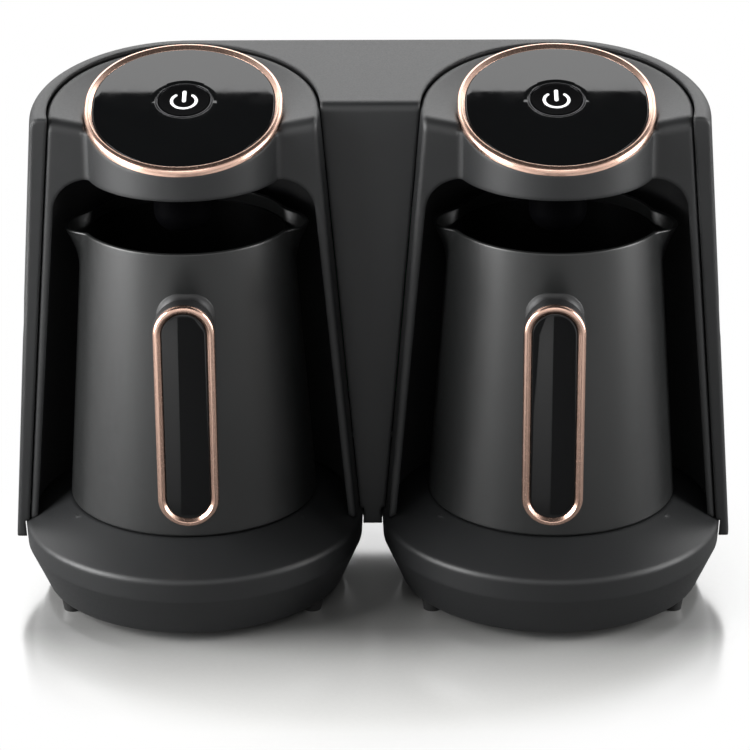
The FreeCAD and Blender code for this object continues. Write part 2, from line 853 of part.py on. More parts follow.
def ring_spaces():
    """Bands that face the contact pins: a button on the axis and two rings round it."""
    high = coupling_z + contact_ring_thickness
    spaces = []
    for radius in pin_circles:
        outer = radius + contact_ring_width / 2
        inner = radius - contact_ring_width / 2
        band = cylinder(outer, coupling_z, high)
        if inner > 0:
            band = band.cut(cylinder(inner, coupling_z, high))
        spaces.append(band)
    return spaces


def contact_rings():
    """Brass contacts under the pot."""
    return group(ring_spaces())


# Handle

def bar(width, top, length, y_front, y_back):
    """Standing bar with round ends, seen from the front."""
    r = width / 2
    high = top - r
    low = top - length + r
    upper = Part.Arc(Vec(-r, y_front, high), Vec(0, y_front, top), Vec(r, y_front, high)).toShape()
    right = Part.makeLine(Vec(r, y_front, high), Vec(r, y_front, low))
    lower = Part.Arc(Vec(r, y_front, low), Vec(0, y_front, top - length), Vec(-r, y_front, low)).toShape()
    left = Part.makeLine(Vec(-r, y_front, low), Vec(-r, y_front, high))
    return Part.Face(Part.Wire([upper, right, lower, left])).extrude(Vec(0, y_back - y_front, 0))


def handle_bar(inset, y_front, y_back):
    """The handle's bar, drawn in all round."""
    return bar(handle_width - 2 * inset, handle_top_z - inset, handle_length - 2 * inset, y_front, y_back)


def handle_bridge(y_front):
    """Arched block between the handle and the pot wall."""
    half = handle_bridge_width / 2
    low = bridge_top_z - handle_bridge_height
    middle = bridge_top_z - handle_bridge_height / 2
    bridge = block(-half, half, y_front, 0, low, bridge_top_z)
    upper = [e for e in bridge.Edges if e.BoundBox.YLength > handle_fillet and e.BoundBox.ZMin > middle]
    bridge = bridge.makeFillet(handle_bridge_round, upper)
    lower = [e for e in bridge.Edges if e.BoundBox.YLength > handle_fillet and e.BoundBox.ZMax < low + seam]
    return bridge.makeFillet(handle_bridge_foot_round, lower)


def handle_core():
    """Bar with a bridge to the pot wall near its top."""
    face = -handle_reach + handle_trim_depth
    back = -handle_reach + handle_depth
    grip = handle_bar(0, face, back)
    rear = [e for e in grip.Edges if e.BoundBox.YMin > back - 0.01]
    grip = grip.makeFillet(handle_fillet, rear)
    core = union([grip, handle_bridge(back - handle_fillet)]).cut(pot_cone(0, pot_foot_z, pot_rim_z))
    pilot_radius = screw_radius + pilot_clearance
    pilot = Part.makeCylinder(pilot_radius, handle_pilot_reach(), Vec(0, 0, 0), Vec(0, -1, 0))
    for z in handle_screw_heights():
        core = core.cut(pilot.translated(Vec(0, 0, z)))
    return core


def handle_screw_heights():
    """Heights of the two screws that hold the handle."""
    middle = bridge_top_z - handle_bridge_height / 2
    step = screw_head_radius + handle_screw_gap / 2
    return [middle - step, middle + step]


def handle_pilot_reach():
    """How far the screws' tips lie from the pot axis."""
    return handle_reach - handle_depth + handle_screw_bite


def handle_trim():
    """Band round the face of the handle."""
    band = handle_bar(0, -handle_reach, -handle_reach + handle_trim_depth)
    return band.cut(handle_bar(handle_trim_width, -far, far))


def handle_inlay():
    """Plate inside the band."""
    face = -handle_reach + handle_inlay_sink
    return handle_bar(handle_trim_width + handle_inlay_gap, face, -handle_reach + handle_trim_depth)


def handle_screws():
    """Two screws from inside the pot wall into the handle's bridge."""
    pieces = []
    for z in handle_screw_heights():
        seat = pot_radius(z + screw_head_radius) - pot_wall - plate_gap
        inner = seat - handle_screw_head_height
        start = Vec(0, -inner, z)
        head = Part.makeCylinder(screw_head_radius, handle_screw_head_height, start, Vec(0, -1, 0))
        shank = Part.makeCylinder(screw_radius, handle_pilot_reach() - seat, Vec(0, -seat, z), Vec(0, -1, 0))
        pieces.append(head.fuse(shank).removeSplitter())
    return group(pieces)


# Shared pieces behind the bays

def tie_plate():
    """Strip that joins both bases and carries the rear housing."""
    half = half_spacing + tie_post_spread + tie_post_radius
    front = tie_post_reach - tie_plate_depth / 2
    top = tie_plate_z + tie_plate_thickness
    plate = block(-half, half, front, front + tie_plate_depth, tie_plate_z, top)
    for x in tie_screw_places() + housing_post_places():
        plate = plate.cut(cylinder(screw_radius + plate_gap, 0, far, x, tie_post_reach))
    return plate


def centre_floor():
    """Plate that closes the housing from below between the bases, with two bosses up to the tie plate."""
    inner = stadium_cone(housing_wall + plate_gap, 0, far / 2)
    half = floor_half_width
    front = spine_recess - housing_front + housing_wall + plate_gap
    plate = block(-half, half, front, far, housing_foot_z, housing_foot_z + floor_thickness).common(inner)
    for x in sides.values():
        plate = plate.cut(cylinder(base_radius + plate_gap, 0, far, x))
    boss = cylinder(tie_post_radius, housing_foot_z, tie_plate_z, 0, tie_post_reach)
    plate = union([plate] + [boss.translated(Vec(x, 0, 0)) for x in housing_post_places()])
    for x in housing_post_places():
        plate = plate.cut(cylinder(screw_radius + plate_gap, 0, far, x, tie_post_reach))
    return plate


def floor_screws():
    """Two long screws up through the floor's bosses and the tie plate into the housing's posts."""
    low = housing_foot_z
    head = cylinder(screw_head_radius, low - screw_head_height, low, 0, tie_post_reach)
    shank = cylinder(screw_radius, low, low + floor_screw_length, 0, tie_post_reach)
    one = head.fuse(shank).removeSplitter()
    return group([one.translated(Vec(x, 0, 0)) for x in housing_post_places()])


def housing_post_places():
    """X of the housing's two posts, between the bases."""
    return [-tie_post_spread / 2, tie_post_spread / 2]


def tie_screw_places():
    """X of the screws down through the tie plate, two on each base."""
    return [centre + x for centre in sides.values() for x, y in tie_points()]


def tie_screws():
    """Screws down through the tie plate into the posts of both bases."""
    high = tie_plate_z + tie_plate_thickness
    return group([screw(x, tie_post_reach, high, up=False) for x in tie_screw_places()])


def power_board():
    """Upright board on the back wall with a fuse, a relay and a capacitor."""
    half = power_board_width / 2
    back = power_board_back()
    front = back - board_thickness
    low = power_board_z
    plate = block(-half, half, front, back, low, low + power_board_height)
    for x, z in power_board_points():
        hole = Part.makeCylinder(board_screw_radius + pilot_clearance, far, Vec(x, 0, z), Vec(0, 1, 0))
        plate = plate.cut(hole)
    capacitor_at = Vec(capacitor_x, front, low + capacitor_height)
    capacitor = Part.makeCylinder(capacitor_radius, capacitor_length, capacitor_at, Vec(0, -1, 0))
    relay = block(0, relay_width, -relay_depth, 0, 0, relay_length)
    fuse = block(0, fuse_width, -fuse_depth, 0, 0, fuse_length)
    relay.translate(Vec(relay_x, front, low + relay_height))
    fuse.translate(Vec(fuse_x, front, low + fuse_height))
    return group([plate, capacitor, relay, fuse])


def cord_gland():
    """Bush in the back wall that the mains cord would pass through."""
    back = Vec(0, 1, 0)
    end_y = cone_radius(housing_foot_radius, housing_top_radius, gland_z) + gland_proud
    radius = gland_radius - push_clearance
    body = Part.makeCylinder(radius, gland_length, Vec(0, end_y - gland_length, gland_z), back)
    flange_y = back_wall_y(gland_z + gland_radius + gland_flange) - plate_gap - gland_flange_thickness
    flange_at = Vec(0, flange_y, gland_z)
    flange = Part.makeCylinder(gland_radius + gland_flange, gland_flange_thickness, flange_at, back)
    bore = Part.makeCylinder(gland_bore_radius, far, Vec(0, 0, gland_z), back)
    return union([body, flange]).cut(bore)


# Writing the pieces

def save(name, shape):
    """Set the whole machine's middle over the origin and write one file."""
    placed = shape.translated(Vec(0, axis_y, 0))
    placed.exportStep("parts/" + name + ".step")
    box = placed.BoundBox
    print("%-24s solids %d valid %s volume %9.0f  x %7.1f %7.1f  y %6.1f %6.1f  z %6.1f %6.1f" % (
        name, len(placed.Solids), placed.isValid(), placed.Volume,
        box.XMin, box.XMax, box.YMin, box.YMax, box.ZMin, box.ZMax))


fixed_pieces = {
    "fascia": fascia(),
    "bay_liner": bay_liner(),
    "head_underside": head_underside(),
    "foam_sensor": foam_sensor(),
    "trim_ring": trim_ring(),
    "control_panel": control_panel(),
    "button_bezel": button_bezel(),
    "button_cap": button_cap(),
    "switch_plunger": switch_plunger(),
    "switch_body": switch_body(),
    "control_board": control_board(),
    "base_shell": base_shell(),
    "bottom_plate": bottom_plate(),
    "base_connector": base_connector(),
    "contact_pins": contact_pins(),
}

pot_pieces = {
    "pot_shell": pot_shell(),
    "pot_liner": pot_liner(),
    "pot_heater": heater(),
    "pot_bottom": pot_bottom(),
    "pot_connector": pot_connector(),
    "contact_rings": contact_rings(),
    "handle_core": handle_core(),
    "handle_trim": handle_trim(),
    "handle_inlay": handle_inlay(),
    "handle_screws": handle_screws(),
}

for side, x in sides.items():
    for piece, shape in fixed_pieces.items():
        save(piece + "_" + side, shape.translated(Vec(x, 0, 0)))
    inward = pot_turn if x < 0 else -pot_turn
    for piece, shape in pot_pieces.items():
        facing = shape.rotated(Vec(0, 0, 0), Vec(0, 0, 1), inward)
        save(piece + "_" + side, facing.translated(Vec(x, 0, 0)))


def in_both_units(shapes):
    """Copies of some solids in each unit, as one group."""
    return group([shape.translated(Vec(x, 0, 0)) for x in sides.values() for shape in shapes])


bottom_screws = [screw(x, y, plate_z) for x, y in base_posts()]
small_screws = in_both_units(control_board_screws()).Solids + power_board_screws()
save("rear_housing", rear_housing())
save("tie_plate", tie_plate())
save("tie_screws", tie_screws())
save("centre_floor", centre_floor())
save("floor_screws", floor_screws())
save("power_board", power_board())
save("cord_gland", cord_gland())
save("rubber_feet", in_both_units(feet()))
save("bottom_screws", in_both_units(bottom_screws))
save("board_screws", group(small_screws))
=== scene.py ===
import json
import math

import bmesh
import bpy
import numpy as np
from mathutils import Matrix, Vector


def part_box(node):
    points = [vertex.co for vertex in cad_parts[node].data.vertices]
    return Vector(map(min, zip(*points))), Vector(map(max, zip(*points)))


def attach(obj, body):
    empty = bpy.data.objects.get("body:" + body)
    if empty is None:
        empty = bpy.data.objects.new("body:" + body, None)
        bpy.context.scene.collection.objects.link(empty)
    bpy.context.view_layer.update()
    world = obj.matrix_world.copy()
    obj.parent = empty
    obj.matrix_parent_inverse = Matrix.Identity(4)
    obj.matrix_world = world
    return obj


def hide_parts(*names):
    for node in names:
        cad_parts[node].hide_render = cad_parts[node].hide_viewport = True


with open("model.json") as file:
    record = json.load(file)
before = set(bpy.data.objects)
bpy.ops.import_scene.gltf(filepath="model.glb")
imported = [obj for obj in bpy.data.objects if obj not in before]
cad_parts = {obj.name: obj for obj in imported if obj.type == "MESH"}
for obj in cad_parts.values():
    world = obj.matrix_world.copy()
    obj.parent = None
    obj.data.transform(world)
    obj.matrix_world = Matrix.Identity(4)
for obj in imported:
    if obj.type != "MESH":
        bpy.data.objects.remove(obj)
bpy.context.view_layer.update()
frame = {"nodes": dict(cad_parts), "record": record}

bl_info = {
    "name": "Twin coffee maker",
    "version": (1, 0, 0),
    "blender": (4, 5, 0),
    "location": "3D View > Sidebar > Coffee maker",
    "description": "Dresses the twin coffee maker with its finished surfaces and sets up the studio",
    "category": "Object",
}

sides = {"left": -1, "right": 1}
liner_low, liner_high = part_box("pot_liner_left")


def linear(code):
    """Linear RGBA of an sRGB hex colour: values up to 0.04045 are divided by 12.92, the rest go through a
    power of 2.4."""
    srgb = np.array([int(code[i:i + 2], 16) / 255 for i in (1, 3, 5)])
    low = srgb / 12.92
    high = ((srgb + 0.055) / 1.055) ** 2.4
    return tuple(float(v) for v in np.where(srgb <= 0.04045, low, high)) + (1.0,)


def length(name, description, millimetres):
    """Property for a length, given in millimetres."""
    return bpy.props.FloatProperty(name=name, description=description, default=millimetres / 1000,
                                   unit="LENGTH")


def angle(name, description, degrees):
    """Property for an angle, given in degrees."""
    return bpy.props.FloatProperty(name=name, description=description, default=math.radians(degrees),
                                   subtype="ANGLE")


def shade(name, description, code):
    """Property for a colour, given as an sRGB hex value."""
    return bpy.props.FloatVectorProperty(name=name, description=description, default=linear(code), size=4,
                                         subtype="COLOR", min=0.0, max=1.0)


class MachineSizes(bpy.types.PropertyGroup):
    """Sizes of the visible pieces."""
    unit_offset: length("Unit offset", "Distance of each pot's axis from the middle",
                        -500 * (liner_low.x + liner_high.x))
    axis_y: length("Axis depth", "Place of the pots' axes along Y", 500 * (liner_low.y + liner_high.y))
    head_radius: length("Head radius", "Radius of the head's round front", 40.1)
    head_back: length("Head back", "Distance from the axis to the head's back edge", 41.1)
    head_back_radius: length("Head back radius", "Radius of the head's back edge", 44.0)
    head_corner: length("Head corner", "Radius of the head's back corners", 36.0)
    panel_height: length("Panel height", "Height of the band's top on the pot's axis", 209.6)
    panel_slope: angle("Panel slope", "Slope of the control panel", 19.2)
    band_width: length("Band width", "Width of the band round the panel", 3.3)
    band_flat: length("Band flat", "Width of the band's outer part, before its inner slope", 2.0)
    band_height: length("Band height", "Height of the band", 2.8)
    panel_sink: length("Panel sink", "How far the panel lies below the band's top", 0.8)
    panel_gap: length("Panel gap", "Gap between the panel and the band", 0.3)
    button_offset: length("Button offset", "Distance of the button up the panel from the pot's axis", 4.4)
    button_radius: length("Button radius", "Radius of the power button", 10.4)
    button_dish: length("Button dish", "Depth of the hollow in the button's face", 0.35)
    button_flange: length("Button flange", "How far the button's flange reaches under the panel", 1.9)
    stem_radius: length("Stem radius", "Radius of the button's stem", 3.0)
    stem_length: length("Stem length", "Length of the button's stem", 1.4)
    bezel_width: length("Bezel width", "Width of the ring round the button", 0.95)
    button_gap: length("Button gap", "Gap between the button and its ring", 0.2)
    mark_radius: length("Mark radius", "Outer radius of the power mark", 5.6)
    mark_stroke: length("Mark stroke", "Width of the power mark's line", 1.25)
    mark_bar: length("Mark bar", "Width of the power mark's bar", 1.6)
    pot_foot: length("Pot foot", "Height of the pot's underside", 42.4)
    pot_foot_radius: length("Pot foot radius", "Radius of the pot at its foot", 51.5)
    pot_rim: length("Pot rim", "Height of the pot's rim", 161.5)
    pot_rim_radius: length("Pot rim radius", "Radius of the pot at its rim", 42.9)
    pot_wall: length("Pot wall", "Thickness of the pot's outer wall", 1.8)
    pot_turn: angle("Pot turn", "How far the handles are turned towards the middle", 2.2)
    lip_reach: length("Lip reach", "How far a pouring lip stands out of the rim", 7.1)
    lip_radius: length("Lip radius", "Radius of a pouring lip at the rim", 15.0)
    lip_root_radius: length("Lip root radius", "Radius of a pouring lip where it starts", 8.9)
    lip_height: length("Lip height", "Height of a pouring lip", 15.0)
    lip_drop: length("Lip drop", "How far the rim dips at a lip's tip", 1.6)
    lip_drop_start: length("Lip drop start", "Distance from the axis where the rim starts to dip", 34.0)
    lip_blend: length("Lip blend", "Width of the soft joint between lip and body", 3.0)
    handle_width: length("Handle width", "Width of the handle", 24.4)
    handle_length: length("Handle length", "Length of the handle", 94.0)
    handle_top: length("Handle top", "Height of the handle's top", 150.6)
    handle_reach: length("Handle reach", "Distance from the pot's axis to the handle's face", 72.5)
    handle_depth: length("Handle depth", "Depth of the handle's bar", 11.5)
    handle_round: length("Handle round", "Rounding at the back of the handle", 4.0)
    handle_band: length("Handle band", "Width of the band round the handle's face", 3.3)
    handle_band_depth: length("Handle band depth", "Depth of the band round the handle's face", 2.4)
    inlay_sink: length("Inlay sink", "How far the inlay's edge lies below the band's face", 0.9)
    inlay_crown: length("Inlay crown", "How far the inlay's middle stands above its edge", 0.4)
    bridge_drop: length("Bridge drop", "Distance of the bridge's top below the handle's top", 8.0)
    bridge_width: length("Bridge width", "Width of the bridge between handle and pot", 18.0)
    bridge_height: length("Bridge height", "Height of the bridge", 14.0)
    bridge_round: length("Bridge round", "Rounding of the bridge's upper edges", 7.0)
    bridge_foot_round: length("Bridge foot round", "Rounding of the bridge's lower edges", 3.0)
    bridge_flare: length("Bridge flare", "Hollow rounding where the bridge meets the pot", 3.2)


class MachineColours(bpy.types.PropertyGroup):
    """Colours of the machine's materials."""
    housing: shade("Housing", "Moulded housing", "#1B1C1D")
    # Painted light: the bay is coloured lighter than the housing, standing in for light that hardly reaches
    # inside the bays.
    bay: shade("Bay", "Inside of the pot bays", "#2A2A2B")
    pot: shade("Pot", "Satin coat of the pots", "#181919")
    rose_gold: shade("Rose gold", "Anodised bands", "#DCB7A5")
    panel: shade("Panel", "Gloss panel and inlays", "#08090A")
    mark: shade("Mark", "Printed power mark", "#F2F3F4")
    rubber: shade("Rubber", "Feet and cord bush", "#151515")


class StudioSettings(bpy.types.PropertyGroup):
    """Camera, lamps and floor."""
    camera_x: length("Camera X", "Camera's place to the right", 15.3)
    camera_y: length("Camera Y", "Camera's place in front", -1228.4)
    camera_z: length("Camera Z", "Camera's height", 593.2)
    camera_pitch: angle("Pitch", "How far the camera looks down", 22.19)
    camera_yaw: angle("Yaw", "How far the camera looks to the left", 0.652)
    camera_roll: angle("Roll", "Tilt of the camera", -0.35)
    camera_lens: bpy.props.FloatProperty(name="Lens", description="Focal length on a 36 mm square sensor",
                                         default=153.3, unit="CAMERA")
    floor_colour: shade("Floor", "Pale floor", "#F0F0EE")


# Shapes

def smooth_max(a, b, width):
    """The larger of two values, plus width / 4 * h^2 where h falls from 1 to 0 as they part by the width."""
    near = np.maximum(width - np.abs(a - b), 0) / width
    return np.maximum(a, b) + near ** 2 * width / 4


def rounded(corners, radii, steps=6):
    """Closed outline with each corner replaced by an arc that touches both sides: the arc's points turn from
    the first touching point to the second about the centre by the sines of the two parts of the turn."""
    corners = np.array(corners, float)
    pieces = []
    for i, radius in enumerate(radii):
        at = corners[i]
        back = corners[i - 1] - at
        forth = corners[(i + 1) % len(corners)] - at
        back = back / np.linalg.norm(back)
        forth = forth / np.linalg.norm(forth)
        if radius == 0:
            pieces.append(at[None])
            continue
        half = math.acos(float(np.clip(back @ forth, -1, 1))) / 2
        middle = (back + forth) / np.linalg.norm(back + forth)
        centre = at + middle * radius / math.sin(half)
        first = at + back * radius / math.tan(half) - centre
        last = at + forth * radius / math.tan(half) - centre
        turn = math.pi - 2 * half
        share = np.linspace(0, 1, steps + 1)[:, None]
        arc = (np.sin((1 - share) * turn) * first + np.sin(share * turn) * last) / math.sin(turn)
        pieces.append(centre + arc)
    return np.concatenate(pieces)


def refined(outline, step):
    """Closed outline with points spread evenly along each side, none further apart than the step."""
    following = np.roll(outline, -1, axis=0)
    counts = np.maximum(np.ceil(np.linalg.norm(following - outline, axis=1) / step).astype(int), 1)
    order = np.arange(counts.sum()) - np.repeat(np.cumsum(counts) - counts, counts)
    share = (order / np.repeat(counts, counts))[:, None]
    start = np.repeat(outline, counts, axis=0)
    return start + (np.repeat(following, counts, axis=0) - start) * share


def grid_faces(rows, columns, wrap_rows):
    """Corner numbers of the quads of a grid that closes across its columns, and across its rows if asked."""
    row = np.arange(rows if wrap_rows else rows - 1)[:, None]
    column = np.arange(columns)[None, :]
    below = ((row + 1) % rows) * columns
    beside = (column + 1) % columns
    above = row * columns
    quads = np.stack([above + column, above + beside, below + beside, below + column], axis=-1)
    return quads.reshape(-1, 4)


def add_piece(name, grids, body, material):
    """Mesh piece from grids of points, each with a flag that says whether its rows close. Doubles are merged,
    which closes poles, faces are turned outwards, and shading is smooth."""
    points = []
    faces = []
    start = 0
    for grid, wrap_rows in grids:
        rows, columns = grid.shape[:2]
        points.append(grid.reshape(-1, 3))
        faces.append(grid_faces(rows, columns, wrap_rows) + start)
        start += rows * columns
    mesh = bpy.data.meshes.new(name)
    mesh.from_pydata(np.concatenate(points).tolist(), [], np.concatenate(faces).tolist())
    work = bmesh.new()
    work.from_mesh(mesh)
    bmesh.ops.remove_doubles(work, verts=work.verts, dist=2e-6)
    bmesh.ops.recalc_face_normals(work, faces=work.faces)
    work.to_mesh(mesh)
    work.free()
    mesh.polygons.foreach_set("use_smooth", np.ones(len(mesh.polygons), bool))
    mesh.materials.append(material)
    piece = bpy.data.objects.new(name, mesh)
    bpy.context.scene.collection.objects.link(piece)
    piece.modifiers.new("Even shading", "WEIGHTED_NORMAL").keep_sharp = True
    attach(piece, body)
    return piece


def in_unit(grid, side, sizes, turn=0.0):
    """Grid turned about the pot's axis and moved to its unit: x' = x cos a - y sin a and
    y' = x sin a + y cos a."""
    cosine = math.cos(turn)
    sine = math.sin(turn)
    x, y, z = np.moveaxis(grid, -1, 0)
    return np.stack([x * cosine - y * sine + side * sizes.unit_offset,
                     x * sine + y * cosine + sizes.axis_y, z], axis=-1)


def pot_turn(side, sizes):
    """Turn of a pot about its axis, towards the middle of the machine."""
    return -side * sizes.pot_turn


def revolved(outline, count):
    """Points at radius and height turned about Z: x = r cos t, y = r sin t."""
    t = np.linspace(0, 2 * math.pi, count, endpoint=False)
    radius = outline[:, 0][:, None]
    height = np.broadcast_to(outline[:, 1][:, None], (len(outline), count))
    return np.stack([radius * np.cos(t), radius * np.sin(t), height], axis=-1)


# Pots

def pot_radius(z, sizes):
    """Radius of the pot at a height: a straight taper from foot to rim."""
    share = (z - sizes.pot_foot) / (sizes.pot_rim - sizes.pot_foot)
    return sizes.pot_foot_radius + (sizes.pot_rim_radius - sizes.pot_foot_radius) * share


def pot_body(sizes):
    """Pot wall as a closed band. Its radius is the soft maximum of the taper and of the far side of each lip,
    a circle of growing radius R about c: c |cos t| + sqrt(R^2 - c^2 sin^2 t). The rim dips by a soft ramp of
    |x| over the lips, and the dip fades out below the rim with the square of the height."""
    foot_round, rim_round, inner_foot_round = 0.0012, 0.0008, 0.0003
    row_step = 0.0025
    ramp_width = 0.004
    fade_height = 0.02
    foot, rim, wall = sizes.pot_foot, sizes.pot_rim, sizes.pot_wall
    corners = [(0, foot), (0, rim), (wall, rim), (wall, foot)]
    outline = refined(rounded(corners, [foot_round, rim_round, rim_round, inner_foot_round]), row_step)
    inset = outline[:, 0][:, None]
    z = outline[:, 1][:, None]
    t = np.linspace(0, 2 * math.pi, 384, endpoint=False)[None, :]
    growth = (sizes.lip_radius - sizes.lip_root_radius) / sizes.lip_height
    lip = np.maximum(sizes.lip_radius + growth * (z - sizes.pot_rim) - inset, 0)
    centre = sizes.pot_rim_radius + sizes.lip_reach - sizes.lip_radius
    far_side = centre * np.abs(np.cos(t)) + np.sqrt(np.maximum(lip ** 2 - (centre * np.sin(t)) ** 2, 0))
    radius = smooth_max(pot_radius(z, sizes) - inset, far_side, sizes.lip_blend)
    x = radius * np.cos(t)
    run = sizes.pot_rim_radius + sizes.lip_reach - sizes.lip_drop_start
    dip = smooth_max(np.abs(x) - sizes.lip_drop_start, 0, ramp_width) * sizes.lip_drop / run
    fade = np.clip((z - rim + fade_height) / fade_height, 0, 1) ** 2
    return np.stack([x, radius * np.sin(t), z - fade * dip], axis=-1)


def standing_bar(profile, width, top, bar_length, front):
    """Profile of inset and depth carried round a standing bar with round ends: each point is
    (centre + (half width - inset) * (cos a, sin a)) in X and Z, and front + depth in Y."""
    half = width / 2
    high = top - half
    low = top - bar_length + half
    arc = np.linspace(0, math.pi, 40)
    side = np.linspace(high, low, 24)[1:-1]
    level = np.concatenate([np.full(len(arc), high), side, np.full(len(arc), low), side[::-1]])
    a = np.concatenate([arc, np.full(len(side), math.pi), arc + math.pi, np.full(len(side), 2 * math.pi)])
    reach = (half - profile[:, 0])[:, None]
    depth = np.broadcast_to(front + profile[:, 1][:, None], (len(profile), len(a)))
    return np.stack([reach * np.cos(a), depth, level + reach * np.sin(a)], axis=-1)


def handle_form(profile, sizes):
    """Profile carried round the handle, with its zero depth on the handle's face."""
    return standing_bar(profile, sizes.handle_width, sizes.handle_top, sizes.handle_length,
                        -sizes.handle_reach)


def grip(sizes):
    """Bar of the handle: flat front, rounded back edges, closed on the bar's middle line."""
    half = sizes.handle_width / 2
    front = sizes.handle_band_depth
    front_round = 0.0003
    corners = [(half, front), (0, front), (0, sizes.handle_depth), (half, sizes.handle_depth)]
    return handle_form(rounded(corners, [0, front_round, sizes.handle_round, 0], 10), sizes)


def bridge(sizes):
    """Bridge from the grip to the pot: an arched outline carried along Y and flared at the pot. A point at
    distance d from the wall moves out by f (1 - sqrt(1 - (1 - d / f)^2)) for d under f, a hollow quarter
    circle. The bridge starts inside the grip and ends inside the pot's wall."""
    point_step = 0.0015
    inside_grip, inside_wall = 0.002, 0.0008
    half = sizes.bridge_width / 2
    high = sizes.handle_top - sizes.bridge_drop
    low = high - sizes.bridge_height
    corners = [(-half, low), (half, low), (half, high), (-half, high)]
    radii = [sizes.bridge_foot_round] * 2 + [sizes.bridge_round] * 2
    outline = refined(rounded(corners, radii, 16), point_step)
    tangent = np.roll(outline, -1, axis=0) - np.roll(outline, 1, axis=0)
    tangent = tangent / np.linalg.norm(tangent, axis=1)[:, None]
    outward = np.stack([tangent[:, 1], -tangent[:, 0]], axis=1)
    start = -sizes.handle_reach + sizes.handle_depth - inside_grip
    flare = sizes.bridge_flare
    share = (1 - np.cos(np.linspace(0, math.pi, 40))) / 2

    def wall(at):
        return -np.sqrt(pot_radius(at[..., 1], sizes) ** 2 - at[..., 0] ** 2)

    end = wall(outline)
    y = start + (end - start)[None, :] * share[:, None]
    closeness = np.clip(1 - (end[None, :] - y) / flare, 0, 1)
    shift = flare * (1 - np.sqrt(1 - closeness ** 2))
    spread = outline[None] + shift[..., None] * outward[None]
    y = np.where(share[:, None] > 0.5, y + (wall(spread) - end) * closeness, y)
    y[-1] += inside_wall
    body = np.stack([spread[..., 0], y, spread[..., 1]], axis=-1)
    first = np.broadcast_to(body[0].mean(axis=0), body[:1].shape)
    last = np.broadcast_to(body[-1].mean(axis=0), body[:1].shape)
    return np.concatenate([first, body, last])


def handle_band(sizes):
    """Band round the handle's face: a rounded outer ridge, a flat and a slope down to the inlay."""
    width = sizes.handle_band
    depth = sizes.handle_band_depth
    flat_end = width * 0.6
    inner_depth = 0.0013
    outer_round, slope_round, inner_round, back_round = 0.0016, 0.0006, 0.0002, 0.0001
    corners = [(0, depth), (0, 0), (flat_end, 0), (width, inner_depth), (width, depth)]
    radii = [back_round, outer_round, slope_round, inner_round, back_round]
    return handle_form(rounded(corners, radii), sizes)


def handle_inlay(sizes):
    """Inlay of the handle: its face rises from the edge to the middle line by crown * (1 - (1 - s)^2)."""
    gap = 0.0001
    bevel = 0.0003
    edge = sizes.handle_band + gap
    half = sizes.handle_width / 2
    share = np.linspace(0, 1, 16)
    face = np.stack([edge + bevel + (half - edge - bevel) * share,
                     sizes.inlay_sink - sizes.inlay_crown * (1 - (1 - share) ** 2)], axis=1)
    skirt = np.array([(half, sizes.handle_band_depth), (edge, sizes.handle_band_depth),
                      (edge, sizes.inlay_sink + bevel), (edge + bevel / 3, sizes.inlay_sink + bevel / 3)])
    return handle_form(np.concatenate([skirt, face]), sizes)


# Heads

def head_plan(inset, sizes):
    """Plan of the head as points c + (R - inset) (cos a, sin a), for arcs about their own centres: a half
    circle in front, short straight sides, round corners and a slightly flatter arc at the back."""
    corner = sizes.head_corner
    back_y = sizes.head_back - sizes.head_back_radius
    corner_x = sizes.head_radius - corner
    corner_y = back_y + math.sqrt((sizes.head_back_radius - corner) ** 2 - corner_x ** 2)
    turn = math.pi / 2 - math.atan2(corner_x, corner_y - back_y)
    front_a = np.linspace(math.pi, 2 * math.pi, 128)
    side_y = np.linspace(0, corner_y, 14)[1:-1]
    corner_a = np.linspace(0, turn, 24)
    back_a = np.linspace(turn, math.pi - turn, 64)[1:-1]
    zeros = np.zeros_like
    x = np.concatenate([zeros(front_a), zeros(side_y), zeros(corner_a) + corner_x, zeros(back_a),
                        zeros(corner_a) - corner_x, zeros(side_y)])
    y = np.concatenate([zeros(front_a), side_y, zeros(corner_a) + corner_y, zeros(back_a) + back_y,
                        zeros(corner_a) + corner_y, side_y[::-1]])
    radius = np.concatenate([zeros(front_a) + sizes.head_radius, zeros(side_y) + sizes.head_radius,
                             zeros(corner_a) + corner, zeros(back_a) + sizes.head_back_radius,
                             zeros(corner_a) + corner, zeros(side_y) + sizes.head_radius])
    a = np.concatenate([front_a, zeros(side_y), corner_a, back_a, math.pi - corner_a[::-1],
                        zeros(side_y) + math.pi])
    return x + (radius - inset) * np.cos(a), y + (radius - inset) * np.sin(a)


def under_panel(x, y, depth, sizes):
    """Points straight below the panel's plane: z = height + y tan s - depth / cos s."""
    z = sizes.panel_height + y * math.tan(sizes.panel_slope) - depth / math.cos(sizes.panel_slope)
    return np.stack(np.broadcast_arrays(x, y, z), axis=-1)


def on_panel(grid, sizes):
    """Grid drawn about the button's axis, tilted to the panel: q = y + offset, then
    y' = q cos s - z sin s and z' = height + q sin s + z cos s."""
    cosine = math.cos(sizes.panel_slope)
    sine = math.sin(sizes.panel_slope)
    x, y, z = np.moveaxis(grid, -1, 0)
    q = y + sizes.button_offset
    return np.stack([x, q * cosine - z * sine, sizes.panel_height + q * sine + z * cosine], axis=-1)


def head_band(sizes):
    """Band round the panel: a rounded outer edge, a flat and a slope down to the panel."""
    width = sizes.band_width
    height = sizes.band_height
    inner_depth = 0.0011
    outer_round, slope_round, inner_round, back_round = 0.0018, 0.0004, 0.0002, 0.0001
    corners = [(0, height), (0, 0), (sizes.band_flat, 0), (width, inner_depth), (width, height)]
    outline = rounded(corners, [back_round, outer_round, slope_round, inner_round, back_round])
    rows = []
    for inset, depth in outline:
        x, y = head_plan(inset, sizes)
        rows.append(under_panel(x, y, depth, sizes))
    return np.stack(rows)


